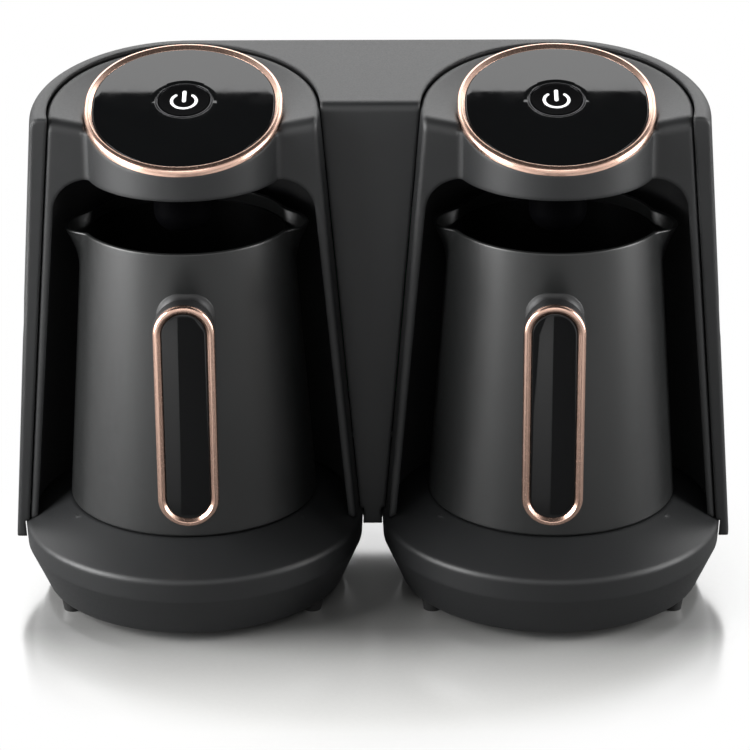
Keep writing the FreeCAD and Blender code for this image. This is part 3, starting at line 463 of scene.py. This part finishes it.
def panel_plate(sizes):
    """Gloss plate between the band's outline and the button's round hole: each row goes a share s of the way
    along straight lines from the outline to the hole, with both top edges rounded."""
    bevel = 0.0003
    hole_gap = 0.00005
    edge = sizes.band_width + sizes.panel_gap
    sink = sizes.panel_sink
    low = sizes.band_height
    hole = sizes.button_radius + sizes.button_gap + sizes.bezel_width + hole_gap
    x, y = head_plan(edge, sizes)
    t = np.arctan2(y / math.cos(sizes.panel_slope) - sizes.button_offset, x)
    bend = np.linspace(0, math.pi / 2, 5)

    def outer(inset, depth):
        px, py = head_plan(edge + inset, sizes)
        return under_panel(px, py, depth, sizes)

    def inner(grow, depth):
        radius = hole + grow
        ring = np.stack([radius * np.cos(t), radius * np.sin(t), np.full_like(t, -depth)], axis=-1)
        return on_panel(ring, sizes)

    rows = [outer(0, low)]
    rows += [outer(bevel * (1 - math.cos(a)), sink + bevel * (1 - math.sin(a))) for a in bend]
    first, last = rows[-1], inner(bevel, sink)
    rows += [first + (last - first) * s for s in np.linspace(0, 1, 14)[1:-1]]
    rows += [inner(bevel * (1 - math.sin(a)), sink + bevel * (1 - math.cos(a))) for a in bend]
    rows.append(inner(0, low))
    return np.stack(rows)


def bezel(sizes):
    """Ring round the button with a rounded top."""
    outer_proud, inner_sunk = 0.00015, 0.0001
    foot_round, outer_round, inner_round = 0.0001, 0.0004, 0.0003
    inner = sizes.button_radius + sizes.button_gap
    outer = inner + sizes.bezel_width
    low = -sizes.band_height
    corners = [(inner, low), (outer, low), (outer, outer_proud - sizes.panel_sink),
               (inner, -inner_sunk - sizes.panel_sink)]
    outline = rounded(corners, [foot_round, foot_round, outer_round, inner_round], 5)
    return on_panel(revolved(outline, 128), sizes)


def button(sizes):
    """Button as a turned outline: a dished face that sinks by dish * (1 - (r / R)^2), a flange and a stem."""
    rim_round = 0.0005
    flange_thickness = 0.001
    radius = sizes.button_radius
    top = -sizes.panel_sink
    flange_top = -sizes.band_height - sizes.button_gap
    flange_low = flange_top - flange_thickness
    stem_low = flange_low - sizes.stem_length
    wide = radius + sizes.button_flange
    r = np.linspace(0, radius - rim_round, 14)
    face = np.stack([r, top - sizes.button_dish * (1 - (r / radius) ** 2)], axis=1)
    bend = np.linspace(0, math.pi / 2, 6)[1:]
    edge = np.stack([radius - rim_round + rim_round * np.sin(bend),
                     top - rim_round + rim_round * np.cos(bend)], axis=1)
    rest = np.array([(radius, flange_top), (wide, flange_top), (wide, flange_low),
                     (sizes.stem_radius, flange_low), (sizes.stem_radius, stem_low), (0, stem_low)])
    return on_panel(revolved(np.concatenate([face, edge, rest]), 128), sizes)


def stroke(path, width, lift):
    """Flat line with round ends along a path: its half width at a distance s from an end is
    sqrt(h^2 - (h - s)^2) within h of the end, and the edges lie that far to each side of the path, square
    to it."""
    thickness = 0.0003
    half = width / 2
    step = np.linalg.norm(np.diff(path, axis=0), axis=1)
    along = np.concatenate([[0], np.cumsum(step)])
    from_end = np.minimum(np.minimum(along, along[-1] - along), half)
    spread = np.sqrt(np.maximum(half ** 2 - (half - from_end) ** 2, 0))
    tangent = np.gradient(path, axis=0)
    tangent = tangent / np.linalg.norm(tangent, axis=1)[:, None]
    across = np.stack([-tangent[:, 1], tangent[:, 0]], axis=1) * spread[:, None]
    left, right = path + across, path - across
    low = lift - thickness
    edges = [(left, lift), (right, lift), (right, low), (left, low)]
    rows = [np.concatenate([edge, np.full((len(path), 1), z)], axis=1) for edge, z in edges]
    return np.stack(rows, axis=1)


def power_mark(sizes):
    """Power mark on the button: an open ring and a bar through its gap, lying on the dished face."""
    lift = 0.00006
    half_gap = 35
    bar_low, bar_high = -0.0008, 0.0068
    radius = sizes.mark_radius - sizes.mark_stroke / 2
    a = np.linspace(math.radians(90 + half_gap), math.radians(90 + 360 - half_gap), 96)
    ring = stroke(np.stack([radius * np.cos(a), radius * np.sin(a)], axis=1), sizes.mark_stroke, lift)
    level = np.linspace(bar_low, bar_high, 40)
    bar = stroke(np.stack([np.zeros_like(level), level], axis=1), sizes.mark_bar, lift)
    grids = []
    for grid in (ring, bar):
        far = np.hypot(grid[..., 0], grid[..., 1]) / sizes.button_radius
        grid[..., 2] -= sizes.panel_sink + sizes.button_dish * (1 - far ** 2)
        grids.append(on_panel(grid, sizes))
    return grids


# Materials

def add_node(tree, kind, values=None, links=None, **settings):
    """Node with its settings, the constants of its sockets and the outputs that feed its inputs."""
    node = tree.nodes.new(kind)
    for name, value in settings.items():
        setattr(node, name, value)
    for name, value in (values or {}).items():
        node.inputs[name].default_value = value
    for name, source in (links or {}).items():
        tree.links.new(source, node.inputs[name])
    return node


def start_material(name):
    """Empty material and its object coordinates."""
    material = bpy.data.materials.new(name)
    material.use_nodes = True
    tree = material.node_tree
    tree.nodes.clear()
    place = add_node(tree, "ShaderNodeTexCoord").outputs["Object"]
    return material, tree, place


def finish_material(tree, shader):
    """Join a shader to the material's output."""
    add_node(tree, "ShaderNodeOutputMaterial", links={"Surface": shader.outputs["BSDF"]})


def noise(tree, place, grain, detail=2.0, roughness=0.5):
    """Noise whose grains are about as wide as the given size in metres."""
    values = {"Scale": 1 / grain, "Detail": detail, "Roughness": roughness}
    return add_node(tree, "ShaderNodeTexNoise", values, {"Vector": place})


def spread(tree, source, low, high):
    """A noise value brought to a range."""
    values = {"From Min": 0.3, "From Max": 0.7, "To Min": low, "To Max": high}
    return add_node(tree, "ShaderNodeMapRange", values, {"Value": source}).outputs["Result"]


def tinted(tree, source, colour, change):
    """Colour that drifts a little lighter and darker with a noise value."""
    value = spread(tree, source, 1 - change, 1 + change)
    shift = add_node(tree, "ShaderNodeHueSaturation", {"Color": colour}, {"Value": value})
    return shift.outputs["Color"]


def relief(tree, height, depth, edge=0.0):
    """Bump of a given depth in metres, over edges whose light is softened across the given radius."""
    links = {"Height": height}
    if edge:
        soft = add_node(tree, "ShaderNodeBevel", {"Radius": edge}, samples=4)
        links["Normal"] = soft.outputs["Normal"]
    node = add_node(tree, "ShaderNodeBump", {"Distance": depth, "Strength": 1.0}, links)
    return node.outputs["Normal"]


def moulded_abs(name, colour, roughness, edge=0.0005):
    """ABS, injection moulded in a spark-eroded tool: a fine even grain that breaks up highlights, slightly
    uneven gloss, edges softened by the mould. By general knowledge the grain is about 0.3 mm wide, too fine
    to show, so it is drawn at 0.7 mm."""
    material, tree, place = start_material(name)
    grain = noise(tree, place, 0.0007, 3.0, 0.6)
    cloud = noise(tree, place, 0.03)
    links = {"Base Color": tinted(tree, cloud.outputs["Fac"], colour, 0.06),
             "Roughness": spread(tree, grain.outputs["Fac"], roughness - 0.05, roughness + 0.05),
             "Normal": relief(tree, grain.outputs["Fac"], 0.00003, edge)}
    shader = add_node(tree, "ShaderNodeBsdfPrincipled", {"IOR": 1.54}, links)
    finish_material(tree, shader)
    return material


def satin_coat(name, colour):
    """Satin paint sprayed on the pot: silky, with broad soft highlights and a trace of orange peel, by
    general knowledge about 2 mm wide."""
    material, tree, place = start_material(name)
    peel = noise(tree, place, 0.0022, 1.0)
    cloud = noise(tree, place, 0.04)
    links = {"Base Color": tinted(tree, cloud.outputs["Fac"], colour, 0.05),
             "Roughness": spread(tree, peel.outputs["Fac"], 0.36, 0.42),
             "Normal": relief(tree, peel.outputs["Fac"], 0.00001, 0.0003)}
    shader = add_node(tree, "ShaderNodeBsdfPrincipled",
                      {"IOR": 1.5, "Coat Weight": 0.25, "Coat Roughness": 0.3}, links)
    finish_material(tree, shader)
    return material


def anodised(name, colour):
    """Aluminium, bead blasted and anodised rose gold: a metal sheen with a fine bright grain and slightly
    uneven dye. By general knowledge the grain is about 0.2 mm wide, too fine to show, so it is drawn at
    0.4 mm."""
    material, tree, place = start_material(name)
    grain = noise(tree, place, 0.0004, 2.0)
    cloud = noise(tree, place, 0.012)
    links = {"Base Color": tinted(tree, cloud.outputs["Fac"], colour, 0.05),
             "Roughness": spread(tree, grain.outputs["Fac"], 0.2, 0.28),
             "Normal": relief(tree, grain.outputs["Fac"], 0.000004)}
    shader = add_node(tree, "ShaderNodeBsdfPrincipled", {"Metallic": 1.0}, links)
    finish_material(tree, shader)
    return material


def gloss_acrylic(name, colour):
    """Acrylic, cast and polished over black print: a mirror-like face with faint wipe marks in its gloss."""
    material, tree, place = start_material(name)
    wipe = noise(tree, place, 0.008, 4.0, 0.6)
    cloud = noise(tree, place, 0.03)
    links = {"Base Color": tinted(tree, cloud.outputs["Fac"], colour, 0.1),
             "Roughness": spread(tree, wipe.outputs["Fac"], 0.01, 0.03)}
    shader = add_node(tree, "ShaderNodeBsdfPrincipled", {"IOR": 1.49}, links)
    finish_material(tree, shader)
    return material


def satin_cap(name, colour):
    """Polycarbonate button cap, moulded with a matt face that stays darker than the gloss panel round it."""
    material, tree, place = start_material(name)
    grain = noise(tree, place, 0.0004, 2.0)
    links = {"Base Color": tinted(tree, grain.outputs["Fac"], colour, 0.1),
             "Roughness": spread(tree, grain.outputs["Fac"], 0.4, 0.5),
             "Normal": relief(tree, grain.outputs["Fac"], 0.000005)}
    shader = add_node(tree, "ShaderNodeBsdfPrincipled", {"IOR": 1.3, "Specular IOR Level": 0.02}, links)
    finish_material(tree, shader)
    return material


def printed_mark(name, colour):
    """White pad print lit from behind: flat ink with a faint glow and slightly uneven cover."""
    material, tree, place = start_material(name)
    cover = noise(tree, place, 0.0008, 2.0)
    links = {"Base Color": tinted(tree, cover.outputs["Fac"], colour, 0.03)}
    shader = add_node(tree, "ShaderNodeBsdfPrincipled",
                      {"Roughness": 0.5, "Emission Color": linear("#FFFFFF"), "Emission Strength": 0.35},
                      links)
    finish_material(tree, shader)
    return material


def plated(name, code, low, high, grain_size):
    """Metal with a plated, turned or rolled surface: a hard sheen broken up by fine marks of a given size."""
    material, tree, place = start_material(name)
    marks = noise(tree, place, grain_size, 3.0, 0.6)
    links = {"Base Color": tinted(tree, marks.outputs["Fac"], linear(code), 0.06),
             "Roughness": spread(tree, marks.outputs["Fac"], low, high),
             "Normal": relief(tree, marks.outputs["Fac"], 0.000003)}
    shader = add_node(tree, "ShaderNodeBsdfPrincipled", {"Metallic": 1.0}, links)
    finish_material(tree, shader)
    return material


def moulded_rubber(name, colour):
    """Thermoplastic rubber, moulded: a dull skin with a dusting of paler specks about 0.5 mm wide."""
    material, tree, place = start_material(name)
    dust = noise(tree, place, 0.0005, 3.0, 0.7)
    links = {"Base Color": tinted(tree, dust.outputs["Fac"], colour, 0.3),
             "Roughness": spread(tree, dust.outputs["Fac"], 0.65, 0.85),
             "Normal": relief(tree, dust.outputs["Fac"], 0.00003, 0.0004)}
    shader = add_node(tree, "ShaderNodeBsdfPrincipled", {"IOR": 1.5}, links)
    finish_material(tree, shader)
    return material


def circuit_board(name):
    """Glass-epoxy board under green solder mask: copper tracks show as paler squares about 3 mm apart."""
    material, tree, place = start_material(name)
    tracks = add_node(tree, "ShaderNodeTexBrick",
                      {"Scale": 1 / 0.003, "Color1": linear("#0E5A34"), "Color2": linear("#146B40"),
                       "Mortar": linear("#2E8A5A"), "Mortar Size": 0.08}, {"Vector": place})
    grain = noise(tree, place, 0.0006)
    links = {"Base Color": tracks.outputs["Color"],
             "Roughness": spread(tree, grain.outputs["Fac"], 0.3, 0.45),
             "Normal": relief(tree, tracks.outputs["Fac"], 0.00003)}
    shader = add_node(tree, "ShaderNodeBsdfPrincipled", {"IOR": 1.55}, links)
    finish_material(tree, shader)
    return material


def brushed_steel(name, code, low, high):
    """Dark-coated stainless steel, spun and brushed round the axis: fine level lines. By general knowledge
    they are about 0.3 mm apart, too fine to show, so they are drawn at 0.6 mm."""
    material, tree, place = start_material(name)
    stretch = add_node(tree, "ShaderNodeMapping", {"Scale": (0.08, 0.08, 1.0)}, {"Vector": place})
    lines = noise(tree, stretch.outputs["Vector"], 0.0006, 3.0, 0.6)
    links = {"Base Color": tinted(tree, lines.outputs["Fac"], linear(code), 0.1),
             "Roughness": spread(tree, lines.outputs["Fac"], low, high),
             "Normal": relief(tree, lines.outputs["Fac"], 0.000005)}
    shader = add_node(tree, "ShaderNodeBsdfPrincipled", {"Metallic": 1.0}, links)
    finish_material(tree, shader)
    return material


finishes = {}


def make_finishes(colours):
    """One material for each slot of the record, and those of the new pieces."""
    finishes["housing_black"] = moulded_abs("Spark-grained ABS", colours.housing, 0.46, 0.002)
    # Painted light: the bay's ABS is a lighter copy of the housing's, standing in for light that hardly
    # reaches inside the bays.
    finishes["bay_black"] = moulded_abs("Matt ABS with painted light", colours.bay, 0.6)
    # Painted shade: the sensor is coloured near-black, standing in for the shade inside the pot.
    finishes["sensor_smoke"] = satin_cap("Near-black polycarbonate with painted shade", linear("#040405"))
    finishes["rose_gold"] = anodised("Anodised aluminium", colours.rose_gold)
    finishes["gloss_black"] = gloss_acrylic("Cast acrylic", colours.panel)
    finishes["button_face"] = satin_cap("Matt polycarbonate", linear("#050506"))
    finishes["bezel_grey"] = plated("Black chrome", "#2A2A2C", 0.15, 0.22, 0.0005)
    finishes["mark_white"] = printed_mark("Pad print", colours.mark)
    finishes["connector_nylon"] = moulded_abs("Glass-filled nylon", linear("#1E1F20"), 0.55)
    finishes["board_green"] = circuit_board("Solder mask")
    finishes["contact_brass"] = plated("Turned brass", "#D6B26A", 0.2, 0.3, 0.0004)
    finishes["pot_charcoal"] = satin_coat("Satin paint", colours.pot)
    # Painted shade, in part: the grip and its bridge are darker than the pot's satin coat. Part of this is
    # the grip's own black plastic, part stands in for the shade round the bridge.
    finishes["grip_black_and_painted_shade"] = moulded_abs("Glass-filled PBT", linear("#0D0D0E"), 0.5, 0.0008)
    finishes["liner_steel"] = brushed_steel("Spun stainless steel", "#2C2C2D", 0.32, 0.45)
    finishes["heater_aluminium"] = plated("Cast aluminium", "#C8C8CA", 0.35, 0.5, 0.0015)
    finishes["screw_steel"] = plated("Zinc-plated steel", "#B8BABE", 0.25, 0.38, 0.0006)
    finishes["zinc_plate"] = plated("Galvanised sheet", "#AEB2B6", 0.35, 0.5, 0.004)
    finishes["gland_rubber"] = moulded_rubber("Bush rubber", colours.rubber)
    finishes["foot_rubber"] = moulded_rubber("Foot rubber", colours.rubber)


# Studio

def add_lamp(name, place, target, width, height, power):
    """Soft rectangular lamp that looks at a point."""
    data = bpy.data.lights.new(name, "AREA")
    data.shape = "RECTANGLE"
    data.size = width
    data.size_y = height
    data.energy = power
    lamp = bpy.data.objects.new(name, data)
    lamp.location = place
    lamp.rotation_euler = (Vector(target) - Vector(place)).to_track_quat("-Z", "Y").to_euler()
    bpy.context.scene.collection.objects.link(lamp)


def add_flag(near_x, far_x):
    """Grey card on the floor in front of a handle, which darkens one half of its gloss inlay. The camera
    doesn't see it from any side."""
    near_y, far_y = -0.165, -0.8
    width = 0.1
    lift = 0.001
    material, tree, place = start_material("Grey card")
    paper = noise(tree, place, 0.001)
    links = {"Base Color": tinted(tree, paper.outputs["Fac"], linear("#5A5A5A"), 0.1)}
    finish_material(tree, add_node(tree, "ShaderNodeBsdfPrincipled", {"Roughness": 0.9}, links))
    mesh = bpy.data.meshes.new("studio_card")
    corners = [(far_x, far_y, lift), (far_x + width, far_y, lift), (near_x + width, near_y, lift),
               (near_x, near_y, lift)]
    mesh.from_pydata(corners, [], [(0, 1, 2, 3)])
    mesh.materials.append(material)
    card = bpy.data.objects.new("studio_card", mesh)
    card.visible_camera = False
    bpy.context.scene.collection.objects.link(card)


def studio_floor(colour):
    """Pale polished floor. Near the machine the camera sees its shadow and a soft mirror image that fades
    towards the front; away from it the floor turns to plain white. To other rays it is a duller board with
    painted shade: darker near the machine, standing in for the machine's shadow there. The white starts
    outside an ellipse round the machine with these half axes."""
    half_x, half_y = 0.178, 0.155
    white_start, white_end = 0.8, 1.1
    image_front, image_full, image_share = -0.14, -0.05, 0.72
    # Depths along Y: the board that other rays see is grey painted shade behind the first and turns pale by
    # the second.
    painted_shade_until, pale_from = -0.17, -0.4
    material, tree, place = start_material("Studio floor")
    paper = noise(tree, place, 0.002, 2.0)
    links = {"Base Color": tinted(tree, paper.outputs["Fac"], colour, 0.01)}
    board = add_node(tree, "ShaderNodeBsdfPrincipled", {"Roughness": 0.5, "IOR": 1.3}, links)
    mirror = add_node(tree, "ShaderNodeBsdfAnisotropic", {"Roughness": 0.14, "Color": (1, 1, 1, 1)})
    path = add_node(tree, "ShaderNodeLightPath")
    front = add_node(tree, "ShaderNodeSeparateXYZ", links={"Vector": place})
    # Painted shade: to other rays the board is grey (#8C8C8C) near the machine and pale (#E8E8E8) further out
    # in front, standing in for the machine's shadow.
    painted_shade_fade = add_node(tree, "ShaderNodeMapRange", {"From Min": painted_shade_until, "From Max": pale_from},
                     {"Value": front.outputs["Y"]})
    painted_shade_tone = add_node(tree, "ShaderNodeMix", {"A": linear("#8C8C8C"), "B": linear("#E8E8E8")},
                    {"Factor": painted_shade_fade.outputs["Result"]}, data_type="RGBA")
    dull = add_node(tree, "ShaderNodeBsdfDiffuse", links={"Color": painted_shade_tone.outputs["Result"]})
    white = add_node(tree, "ShaderNodeEmission", {"Strength": 1.0})
    squash = add_node(tree, "ShaderNodeMapping", {"Scale": (1 / half_x, 1 / half_y, 1.0)}, {"Vector": place})
    distance = add_node(tree, "ShaderNodeVectorMath", links={0: squash.outputs["Vector"]}, operation="LENGTH")
    away = add_node(tree, "ShaderNodeMapRange", {"From Min": white_start, "From Max": white_end},
                    {"Value": distance.outputs["Value"]}, interpolation_type="SMOOTHSTEP")
    image = add_node(tree, "ShaderNodeMapRange",
                     {"From Min": image_front, "From Max": image_full, "To Max": image_share},
                     {"Value": front.outputs["Y"]})
    near = add_node(tree, "ShaderNodeMixShader", links={0: image.outputs["Result"], 1: board.outputs["BSDF"],
                                                        2: mirror.outputs["BSDF"]})
    seen = add_node(tree, "ShaderNodeMixShader", links={0: away.outputs["Result"], 1: near.outputs["Shader"],
                                                        2: white.outputs["Emission"]})
    whole = add_node(tree, "ShaderNodeMixShader", links={0: path.outputs["Is Camera Ray"],
                                                         1: dull.outputs["BSDF"], 2: seen.outputs["Shader"]})
    add_node(tree, "ShaderNodeOutputMaterial", links={"Surface": whole.outputs["Shader"]})
    return material


def studio_world():
    """White to the camera and through glass; in reflections white near the horizon and dim overhead;
    elsewhere a low even light."""
    glow_low, glow_high = 0.5, 0.8
    overhead, ambient = 0.05, 0.12
    world = bpy.data.worlds.new("Studio")
    world.use_nodes = True
    tree = world.node_tree
    tree.nodes.clear()
    direction = add_node(tree, "ShaderNodeTexCoord").outputs["Generated"]
    height = add_node(tree, "ShaderNodeSeparateXYZ", links={"Vector": direction}).outputs["Z"]
    glow = add_node(tree, "ShaderNodeMapRange",
                    {"From Min": glow_low, "From Max": glow_high, "To Min": 1.0, "To Max": overhead},
                    {"Value": height}, interpolation_type="SMOOTHSTEP")
    path = add_node(tree, "ShaderNodeLightPath")
    plain = add_node(tree, "ShaderNodeMath", operation="MAXIMUM",
                     links={0: path.outputs["Is Camera Ray"], 1: path.outputs["Is Transmission Ray"]})
    shown = add_node(tree, "ShaderNodeMix", {"A": ambient}, {"Factor": path.outputs["Is Glossy Ray"],
                                                            "B": glow.outputs["Result"]})
    level = add_node(tree, "ShaderNodeMix", {"B": 1.0}, {"Factor": plain.outputs["Value"],
                                                        "A": shown.outputs["Result"]})
    back = add_node(tree, "ShaderNodeBackground", {"Color": (1, 1, 1, 1)},
                    {"Strength": level.outputs["Result"]})
    add_node(tree, "ShaderNodeOutputWorld", links={"Surface": back.outputs["Background"]})
    bpy.context.scene.world = world


def add_camera(studio):
    """Camera at the photograph's place: turned to the left, tilted down from level, then rolled."""
    sensor_width = 36.0
    clip_end = 20.0
    data = bpy.data.cameras.new("Camera")
    data.lens = studio.camera_lens
    data.sensor_width = sensor_width
    data.clip_end = clip_end
    camera = bpy.data.objects.new("Camera", data)
    turn = Matrix.Rotation(studio.camera_yaw, 4, "Z")
    tilt = Matrix.Rotation(math.pi / 2 - studio.camera_pitch, 4, "X")
    roll = Matrix.Rotation(studio.camera_roll, 4, "Z")
    place = Matrix.Translation((studio.camera_x, studio.camera_y, studio.camera_z))
    camera.matrix_world = place @ turn @ tilt @ roll
    bpy.context.scene.collection.objects.link(camera)
    bpy.context.scene.camera = camera


# Operators

def show_on_both(context, make):
    """Call a maker for each side with the sizes."""
    sizes = context.scene.machine_sizes
    for side_name, side in sides.items():
        make(side_name, side, sizes)


class DressNodes(bpy.types.Operator):
    """Give every CAD node the finish of its slot"""
    bl_idname = "coffee.dress_nodes"
    bl_label = "Finishes on the CAD nodes"

    def execute(self, context):
        make_finishes(context.scene.machine_colours)
        slots = {entry["node"]: entry["material_slot"] for entry in frame["record"]["subparts"]}
        for name, node in frame["nodes"].items():
            node.data.materials.clear()
            node.data.materials.append(finishes[slots[name]])
        return {"FINISHED"}


class AddPots(bpy.types.Operator):
    """Add the two pot bodies with their pouring lips"""
    bl_idname = "coffee.add_pots"
    bl_label = "Pots"

    def execute(self, context):
        def make(name, side, sizes):
            grid = in_unit(pot_body(sizes), side, sizes, pot_turn(side, sizes))
            piece = add_piece("pot_body_" + name, [(grid, True)], name + "_pot",
                              finishes["pot_charcoal"])
            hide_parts("pot_shell_" + name)
        show_on_both(context, make)
        return {"FINISHED"}


class AddHandles(bpy.types.Operator):
    """Add the two handles: grip with its bridge, band and inlay"""
    bl_idname = "coffee.add_handles"
    bl_label = "Handles"

    def execute(self, context):
        def make(name, side, sizes):
            turn = pot_turn(side, sizes)
            bar = [(grip(sizes), False), (bridge(sizes), False)]
            band = [(handle_band(sizes), True)]
            face = [(handle_inlay(sizes), False)]
            # The grip takes a darker finish than the pot: partly its own black plastic, partly painted shade
            # round the bridge.
            parts = [("handle_grip_", bar, "pot_charcoal", "grip_black_and_painted_shade", "handle_core_"),
                     ("handle_band_", band, "rose_gold", "rose_gold", "handle_trim_"),
                     ("handle_face_", face, "gloss_black", "gloss_black", "handle_inlay_")]
            for piece_name, grids, slot, finish, node in parts:
                placed = [(in_unit(grid, side, sizes, turn), wrap) for grid, wrap in grids]
                piece = add_piece(piece_name + name, placed, name + "_pot", finishes[finish])
                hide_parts(node + name)
        show_on_both(context, make)
        return {"FINISHED"}


class AddHeads(bpy.types.Operator):
    """Add the band and the gloss panel on each head"""
    bl_idname = "coffee.add_heads"
    bl_label = "Bands and panels"

    def execute(self, context):
        def make(name, side, sizes):
            band = add_piece("head_band_" + name, [(in_unit(head_band(sizes), side, sizes), True)], "machine",
                             finishes["rose_gold"])
            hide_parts("trim_ring_" + name)
            plate = add_piece("head_panel_" + name, [(in_unit(panel_plate(sizes), side, sizes), True)],
                              "machine", finishes["gloss_black"])
            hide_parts("control_panel_" + name)
        show_on_both(context, make)
        return {"FINISHED"}


class AddButtons(bpy.types.Operator):
    """Add the power buttons, their bezels and their power marks"""
    bl_idname = "coffee.add_buttons"
    bl_label = "Power buttons"

    def execute(self, context):
        def make(name, side, sizes):
            ring = add_piece("button_ring_" + name, [(in_unit(bezel(sizes), side, sizes), True)], "machine",
                             finishes["bezel_grey"])
            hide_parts("button_bezel_" + name)
            cap = add_piece("power_button_" + name, [(in_unit(button(sizes), side, sizes), False)],
                            name + "_button", finishes["button_face"])
            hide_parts("button_cap_" + name)
            marks = [(in_unit(grid, side, sizes), False) for grid in power_mark(sizes)]
            add_piece("power_mark_" + name, marks, name + "_button", finishes["mark_white"])
        show_on_both(context, make)
        return {"FINISHED"}


class AddStage(bpy.types.Operator):
    """Add the floor, the lamps, the world and the camera"""
    bl_idname = "coffee.add_stage"
    bl_label = "Stage"

    def execute(self, context):
        studio = context.scene.studio_settings
        mesh = bpy.data.meshes.new("studio_floor")
        edge = 3.0
        corners = [(-edge, -edge, 0), (edge, -edge, 0), (edge, edge, 0), (-edge, edge, 0)]
        mesh.from_pydata(corners, [], [(0, 1, 2, 3)])
        mesh.materials.append(studio_floor(studio.floor_colour))
        floor = bpy.data.objects.new("studio_floor", mesh)
        context.scene.collection.objects.link(floor)
        add_lamp("Back top softbox", place=(0.0, 0.9362, 1.0283), target=(0.0, 0.0, 0.2), width=2.2,
                 height=0.6234, power=13.0)
        add_lamp("Left softbox", place=(-1.0, -0.3, 0.42), target=(0.0, 0.0, 0.1), width=0.8, height=0.84,
                 power=24.0)
        add_lamp("Right softbox", place=(1.05, -0.12, 0.42), target=(0.0, 0.0, 0.1), width=0.45, height=0.84,
                 power=11.0)
        add_lamp("Front strip", place=(0.0, -1.7, 1.5), target=(0.0, 0.0, 0.15), width=1.6, height=0.35,
                 power=4.4)
        add_flag(near_x=-0.0825, far_x=-0.108)
        add_flag(near_x=0.0675, far_x=0.042)
        studio_world()
        add_camera(studio)
        context.scene.view_settings.view_transform = "Standard"
        return {"FINISHED"}


steps = [DressNodes, AddPots, AddHandles, AddHeads, AddButtons, AddStage]


class CoffeePanel(bpy.types.Panel):
    """Buttons for each group of pieces"""
    bl_idname = "VIEW3D_PT_coffee_maker"
    bl_label = "Twin coffee maker"
    bl_space_type = "VIEW_3D"
    bl_region_type = "UI"
    bl_category = "Coffee maker"

    def draw(self, context):
        for step in steps:
            self.layout.operator(step.bl_idname)


classes = [MachineSizes, MachineColours, StudioSettings] + steps + [CoffeePanel]


def register():
    for item in classes:
        bpy.utils.register_class(item)
    bpy.types.Scene.machine_sizes = bpy.props.PointerProperty(type=MachineSizes)
    bpy.types.Scene.machine_colours = bpy.props.PointerProperty(type=MachineColours)
    bpy.types.Scene.studio_settings = bpy.props.PointerProperty(type=StudioSettings)


def unregister():
    del bpy.types.Scene.studio_settings
    del bpy.types.Scene.machine_colours
    del bpy.types.Scene.machine_sizes
    for item in reversed(classes):
        bpy.utils.unregister_class(item)


def main():
    """Build everything in order."""
    register()
    bpy.ops.coffee.dress_nodes()
    bpy.ops.coffee.add_pots()
    bpy.ops.coffee.add_handles()
    bpy.ops.coffee.add_heads()
    bpy.ops.coffee.add_buttons()
    bpy.ops.coffee.add_stage()


if __name__ == "__main__":
    main()
